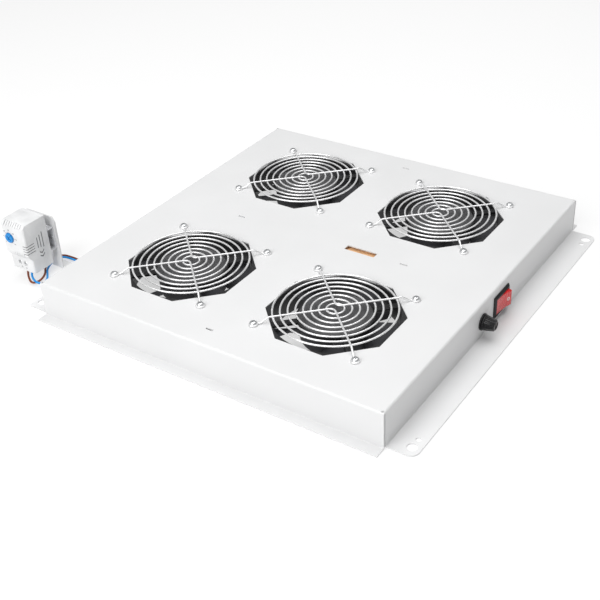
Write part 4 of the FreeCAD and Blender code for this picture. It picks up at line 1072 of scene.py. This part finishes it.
@dataclass
class FuseHolder:
    """A panel fuse holder with a ribbed bayonet cap."""

    y: float = -21.0
    z: float = 16.6
    seat: float = 1.9
    cap_long: float = 11.5
    cap_base: float = 7.3
    cap_tip: float = 5.55
    ribs: int = 22
    carrier: float = 9.0

    def on_wall(self, mesh: Mesh) -> Mesh:
        """A shape that stands on Z, laid along +X in the holder's place."""
        return shifted(mesh, WALL, self.y, self.z, turned(90, "Y"))

    def cap(self) -> Mesh:
        """The cap: a tapered body, a plain collar, ribs and a dished end."""
        seat, wide, narrow = self.seat, self.cap_base, self.cap_tip
        tip = seat + self.cap_long
        body = lathe("cap", [(0, seat), (wide - 0.4, seat), (wide, seat + 0.4),
                             (wide, seat + 1.5), (wide - 0.9, seat + 1.9),
                             (narrow - 0.75, tip - 0.7), (narrow - 1.2, tip),
                             (narrow - 2.0, tip), (narrow - 2.4, tip - 0.5),
                             (0, tip - 0.5)], 48)
        slot = boxes("slot", [((-3.0, -0.6, tip - 1.4), (3.0, 0.6, tip + 1))])
        body = carved(body, slot)
        low, high = seat + 1.7, tip - 0.9
        rib = mesh_of("rib", [(wide - 1.1, -0.42, low), (wide - 1.1, 0.42, low),
                              (wide - 0.05, 0.0, low), (narrow - 1.0, -0.34, high),
                              (narrow - 1.0, 0.34, high), (narrow, 0.0, high)],
                      [(0, 2, 1), (3, 4, 5), (0, 1, 4, 3), (1, 2, 5, 4), (2, 0, 3, 5)])
        ribs = around("cap_ribs", "Ribs", self.ribs, rib, PANEL_BLACK)
        return self.on_wall(joined("cap", [body, ribs]))

    def link(self) -> Mesh:
        """The fuse link's two end caps."""
        start = self.seat - self.carrier
        ends = [lathe("end", [(0, a), (2.58, a), (2.58, a + 4.6), (0, a + 4.6)], 32)
                for a in (start - 15.75, start - 4.65)]
        return self.on_wall(joined("ends", ends))

    def dress(self) -> None:
        """Show the fuse holder."""
        eased("fuse_barrel", PANEL_BLACK, 0.3)
        piece("fuse_cap_ribbed", self.cap(), PANEL_BLACK, "fuse_cap", ["fuse_cap"], 30.0)
        eased("fuse_contact", BRASS, 0.3, "fuse_cap")
        tube = lathe("tube", [(0, self.seat - 24.7), (2.4, self.seat - 24.7),
                              (2.4, self.seat - 9.1), (0, self.seat - 9.1)], 32)
        piece("fuse_tube", self.on_wall(tube), GLASS, "fuse_carrier", ["glass_fuse"])
        piece("fuse_ends", self.link(), ZINC, "fuse_carrier")
        eased("fuse_nut", PANEL_BLACK, 0.3)
        eased("fuse_tags", BRASS, 0.12)


# ---------------------------------------------------------------- thermostat


@dataclass
class Thermostat:
    """A small bimetal thermostat with a blue dial, clipped to a short rail."""

    left: float = -269.5
    right: float = -238.0
    front: float = -166.5
    low: float = 11.2
    top: float = 67.2
    dial_x: float = -260.0
    dial_z: float = 49.7
    dial_radius: float = 5.15
    grips: tuple[float, ...] = tuple(35.4 + 2.9 * i for i in range(4))

    def cover(self) -> Mesh:
        """The cover with its grip lines, slots and rounded edges."""
        front, right, low = self.front, self.right, self.low
        cuts = []
        for level in self.grips:
            cuts.append(((-243.6, front - 1.0, level - 0.45),
                         (right + 1.0, front + 0.8, level + 0.45)))
            cuts.append(((right - 0.8, front - 1.0, level - 0.45),
                         (right + 1.0, front + 11.0, level + 0.45)))
        for i in range(5):
            x = right - 5.6 - 3.2 * i
            cuts.append(((x - 0.45, front - 1.0, low + 16.2), (x + 0.45, front + 4.4, low + 23.2)))
        for x in (-256.4, -250.0):
            cuts.append(((x - 0.9, front + 3.0, low + 2.4), (x + 0.9, front + 7.5, low + 4.2)))
        mesh = carved(traced("thermostat_cover"), boxes("cuts", cuts))
        return rounded(mesh, 0.3, 2, 26.0)

    def lines(self) -> Mesh:
        """Painted shade as dark boxes on the floors of the grip lines, and the plain bars and
        arrows printed on the side.
        """
        front, right = self.front, self.right
        spans = []
        # Dark grey boxes inside each grip groove: painted shade where the groove's floor falls in
        # shadow.
        for level in self.grips:
            spans.append(((-243.5, front + 0.35, level - 0.4),
                          (right - 0.35, front + 0.75, level + 0.4)))
            spans.append(((right - 0.75, front + 0.8, level - 0.4),
                          (right - 0.35, front + 10.9, level + 0.4)))
        for y, low, high in ((-151.6, 36.6, 48.6), (-148.1, 36.0, 50.0), (-144.6, 34.6, 52.0)):
            spans.append(((right - 0.1, y - 0.42, low), (right + 0.04, y + 0.42, high)))
        parts = [boxes("bars", spans)]
        loop = [(-3.0, 2.0), (0.0, 0.0), (3.0, 2.6), (3.0, 1.3), (0.0, -1.4), (-3.0, 0.7)]
        for level in (30.2, 26.0):
            arrow = prism("arrow", loop, -0.1, 0.04, 0)
            parts.append(shifted(arrow, right, -148.1, level))
        return joined("lines", parts)

    def dial(self) -> Mesh:
        """The dial: a plain disc with a cross slot and a notch at its rim."""
        r = self.dial_radius
        disc = lathe("dial", [(0, -3.5), (r, -3.5), (r, 1.0), (r - 0.35, 1.55), (r - 1.0, 1.6),
                              (r - 1.3, 1.35), (0, 1.35)], 48)
        cross = boxes("cross", [((-3.0, -0.55, 0.4), (3.0, 0.55, 3.0)),
                                ((-0.55, -3.0, 0.4), (0.55, 3.0, 3.0)),
                                ((r - 1.25, -0.4, 0.7), (r + 1, 0.4, 3.0))])
        turn = turned(90, "X") @ turned(50, "Z")
        return shifted(carved(disc, cross), self.dial_x, self.front, self.dial_z, turn)

    def scale(self) -> Mesh:
        """Marks and plain numbers printed round the dial."""
        parts = []
        for i in range(7):
            angle = math.radians(225 - 45 * i)
            x, z = math.cos(angle), math.sin(angle)
            mark = boxes("mark", [((6.3, -0.05, -0.13), (7.3, 0.0, 0.13))])
            turn = Matrix.Rotation(-angle, 4, "Y")
            parts.append(shifted(mark, self.dial_x, self.front, self.dial_z, turn))
            font = bpy.data.curves.new("number", "FONT")
            font.body = str(10 * i)
            font.size = 2.1 * MM
            font.extrude = 0.02 * MM
            font.align_x = "CENTER"
            font.align_y = "CENTER"
            number = settled(shown("number", font))
            number.transform(turned(90, "X"))
            parts.append(shifted(number, self.dial_x + 8.9 * x, self.front - 0.03,
                                 self.dial_z + 8.6 * z))
        return joined("scale", parts)

    def dress(self) -> None:
        """Show the thermostat, its rail, bracket and small screws."""
        piece("thermostat_case", self.cover(), CASE_GREY, stands_for=["thermostat_cover"])
        eased("thermostat_base", CASE_GREY, 0.3)
        eased("rail_clip", CASE_GREY, 0.25, "rail_clip")
        piece("dial_disc", self.dial(), DIAL_BLUE, "thermostat_dial", ["thermostat_dial"])
        piece("dial_scale", self.scale(), PRINT_AND_SHADE_GREY)
        # Printed bars and arrows on the side, with painted shade on the grip lines' floors.
        piece("case_lines", self.lines(), PRINT_AND_SHADE_GREY)
        middle, wide = (self.left + self.right) / 2, self.right - self.left
        wells = [(middle + wide * share, self.front + 6.5, self.low + 8.5)
                 for share in (-0.13, 0.11)]
        PanHeads("terminal_heads", "thermostat_screws", wells, 2.25, 1.9, reach=0.0,
                 turn=turned(90, "X")).dress(ZINC)
        eased("thermostat_bracket", COAT, 0.25)
        eased("din_rail", RAIL, 0.2)
        eased("rail_rivets", ZINC, 0.3)
        feet = [(x, -123.5, 2.7) for x in (-208.86, -198.14)]
        PanHeads("bracket_heads", "bracket_screws", feet, 2.9, 1.95, 1.5, 2.6).dress(ZINC)


# ---------------------------------------------------------------- wiring


class Wiring:
    """The terminal board, the leads and their entries."""

    def leads(self) -> None:
        """The thermostat's two leads, on smooth lines."""
        loops = {
            "lead_brown": [(-251.2, -161.6, 4.4), (-240.3, -168.2, 2.5), (-235.9, -160.8, 2.4),
                           (-240.6, -148.0, 2.4), (-252.0, -137.5, 2.5), (-256.0, -122.0, 2.9),
                           (-252.6, -111.2, 2.8), (-240.0, -109.6, 2.6), (-222.0, -110.6, 2.6),
                           (-209.0, -111.8, 6.0), (-198.5, -111.6, 11.6)],
            "lead_blue": [(-245.2, -162.0, 5.6), (-233.4, -167.3, 5.0), (-228.2, -162.8, 3.6),
                          (-231.0, -155.0, 2.9), (-236.6, -149.0, 2.6), (-247.4, -139.0, 2.6),
                          (-252.4, -123.5, 3.0), (-249.6, -113.8, 2.9), (-238.0, -112.3, 2.6),
                          (-220.5, -113.3, 2.7), (-209.5, -112.6, 8.6), (-198.5, -111.8, 14.4)]}
        for name, finish, entry, shift in (("lead_brown", BROWN_LEAD, -1.5, -1.25),
                                           ("lead_blue", BLUE_LEAD, 4.5, 1.25)):
            x, y = -253.75 + entry, -157.0
            points = [(x, y, 17.2), (x, y, 8.0), *loops[name],
                      (-185.0, -112.0, 14.0 + shift),
                      (-170.0 + shift, -107.0 - shift, 17.0 + shift),
                      (-162.0 + shift * 1.6, -90.0, 25.0), (-161.0 + shift * 1.6, -55.0, 31.0),
                      (-150.0 + shift * 1.6, -22.0 - shift, 31.7),
                      (-118.0, -4.0 - shift * 1.8, 31.0), (-70.0, 2.0 - shift * 1.6, 30.3),
                      (-20.0, 2.5 - shift * 1.6, 28.6), (10.5, 0.8 - shift * 2, 25.6),
                      (28.5, 0.8 - shift * 2, 25.6)]
            piece(f"{name}_round", flowing(name, points, 1.1), finish, stands_for=[name],
                  smooth=60.0)

    def fan_leads(self) -> None:
        """Each fan's pair of thin leads, one black and one red, side by side."""
        level = 25.3
        for colour, finish, across in (("black", BLACK_LEAD, -0.45), ("red", RED_LEAD, 0.45)):
            runs = []
            for side in (-1, 1):
                for end in (1, -1):
                    edge = end * 39.9
                    front = 1.2 + end * 8.0
                    if side > 0:
                        way = 52.25
                        points = [(way + 3.0 + across, edge, level),
                                  (way + 3.0 + across, edge - end * 14.0, level),
                                  (way + across, front, level)]
                    else:
                        way = 33.25
                        points = [(-22.3, edge + end * (6.0 + across), level),
                                  (way - 20.0 + across, edge + end * (6.0 + across), level),
                                  (way + across, front, level)]
                    runs.append(flowing("run", points, 0.44))
            replaced = ["fan_leads"] if colour == "black" else []
            piece(f"fan_leads_{colour}", joined("runs", runs), finish, stands_for=replaced,
                  smooth=60.0)

    def supply_leads(self) -> None:
        """The leads between the switch, the fuse and the terminal block."""
        routes = [[(161.5, 10.4, 22.4), (141.5, 10.4, 22.4), (110.0, 4.2, 25.3), (66.5, 4.2, 25.3)],
                  [(149.5, -21.0, 16.6), (135.5, -21.0, 16.6), (108.0, -1.8, 25.3),
                   (66.5, -1.8, 25.3)],
                  [(160.0, -18.6, 10.3), (160.0, -12.0, 10.3), (153.5, -3.1, 12.0),
                   (153.5, 10.4, 12.0), (161.5, 10.4, 12.0)]]
        runs = [flowing("run", points, 1.1) for points in routes]
        piece("supply_leads", joined("runs", runs), BROWN_LEAD, stands_for=["mains_leads"],
              smooth=60.0)

    def dress(self) -> None:
        """Show the wiring."""
        self.leads()
        self.fan_leads()
        self.supply_leads()
        for node, finish, width, rings in (
                ("terminal_board", BOARD, 0.15, 2), ("terminal_block", IVORY, 0.5, 2),
                ("terminal_screws", ZINC, 0.2, 2), ("board_studs", ZINC, 0.15, 2),
                ("board_nuts", ZINC, 0.25, 2), ("earth_stud", BRASS, 0.2, 2),
                ("earth_nut", BRASS, 0.25, 2), ("lead_grommet", RUBBER, 0.5, 3),
                ("cable_gland", PANEL_BLACK, 0.5, 3), ("gland_nut", PANEL_BLACK, 0.4, 2),
                ("fan_stators", STACK, 0.3, 2)):
            eased(node, finish, width, rings=rings)


# ---------------------------------------------------------------- studio


class Lamp(Enum):
    """The studio's soft lights: place, aim, size in metres, power in watts."""

    KEY = ((-0.2, -1.6, 1.25), (0.0, 0.0, 0.0), 1.6, 30.0)
    TOP = ((0.0, 0.3, 1.9), (0.0, 0.0, 0.0), 1.8, 26.0)


@dataclass
class Studio:
    """A plain pale floor, soft light and the camera."""

    lens: float = 62.54
    place: Point = (501.9, -738.3, 563.9)
    turn: Point = (56.1464, 2.6830, 33.8454)
    floor_tone: float = 0.42
    glow: float = 0.55
    floor_drop: float = -0.0003
    surround: float = 0.28

    def floor(self) -> None:
        """A wide pale floor with a faint grain."""
        mesh = bpy.data.meshes.new("floor")
        mesh.from_pydata([(-6, -6, 0), (6, -6, 0), (6, 6, 0), (-6, 6, 0)], [], [(0, 1, 2, 3)])
        shader = Shader("floor_paper")
        tone = (self.floor_tone,) * 3
        shader.feed("Base Color", shader.blend(shader.noise(80.0), [(0.3, shade(tone, 0.995)),
                                                                    (0.7, tone)]))
        shader.plain(Roughness=0.9, Specular_IOR_Level=0.1, Emission_Color=(1.0, 1.0, 1.0, 1.0),
                     Emission_Strength=self.glow)
        mesh.materials.append(shader.material)
        floor = shown("floor", mesh)
        floor.location.z = self.floor_drop

    def light(self) -> None:
        """An even surround and two large soft lights."""
        world = bpy.data.worlds.new("surround")
        world.use_nodes = True
        back = world.node_tree.nodes["Background"]
        back.inputs["Color"].default_value = (1.0, 1.0, 1.0, 1.0)
        back.inputs["Strength"].default_value = self.surround
        bpy.context.scene.world = world
        for lamp in Lamp:
            place, aim, size, power = lamp.value
            data = bpy.data.lights.new(lamp.name.lower(), "AREA")
            data.size = size
            data.energy = power
            light = shown(lamp.name.lower(), data)
            light.location = place
            towards = Vector(aim) - Vector(place)
            light.rotation_euler = towards.to_track_quat("-Z", "Y").to_euler()

    def camera(self) -> None:
        """The camera, high on the front right."""
        data = bpy.data.cameras.new("camera")
        data.lens = self.lens
        data.sensor_width = 36.0
        data.clip_end = 20.0
        camera = shown("camera", data)
        camera.location = Vector(self.place) * MM
        camera.rotation_euler = [math.radians(a) for a in self.turn]
        bpy.context.scene.camera = camera
        bpy.context.scene.view_settings.view_transform = "Standard"

    def set_up(self) -> None:
        """Make the studio."""
        self.camera()
        self.floor()
        self.light()


def main() -> None:
    """Build the studio and every piece of the fan tray, in order."""
    logging.basicConfig(level=logging.INFO, format="%(message)s")
    Studio().set_up()
    Tray().dress()
    across, along = 82.2, 99.8
    spots = ((1, -across, along, 10.0), (2, across, along, 24.0), (3, -across, -along, 38.0),
             (4, across, -along, 5.0))
    for number, x, y, turned in spots:
        Fan(number, x, y, turned).dress()
        FingerGuard(number, x, y).dress()
    heads = [(x + FAN_SCREW * u, y + FAN_SCREW * v, 38.75) for _, x, y, _ in spots
             for u in (-1, 1) for v in (-1, 1)]
    PanHeads("guard_heads", "guard_screws", heads, 3.6, 2.3, reach=13.7).dress(ZINC)
    RockerSwitch().dress()
    FuseHolder().dress()
    Thermostat().dress()
    Wiring().dress()


if __name__ == "__main__":
    main()
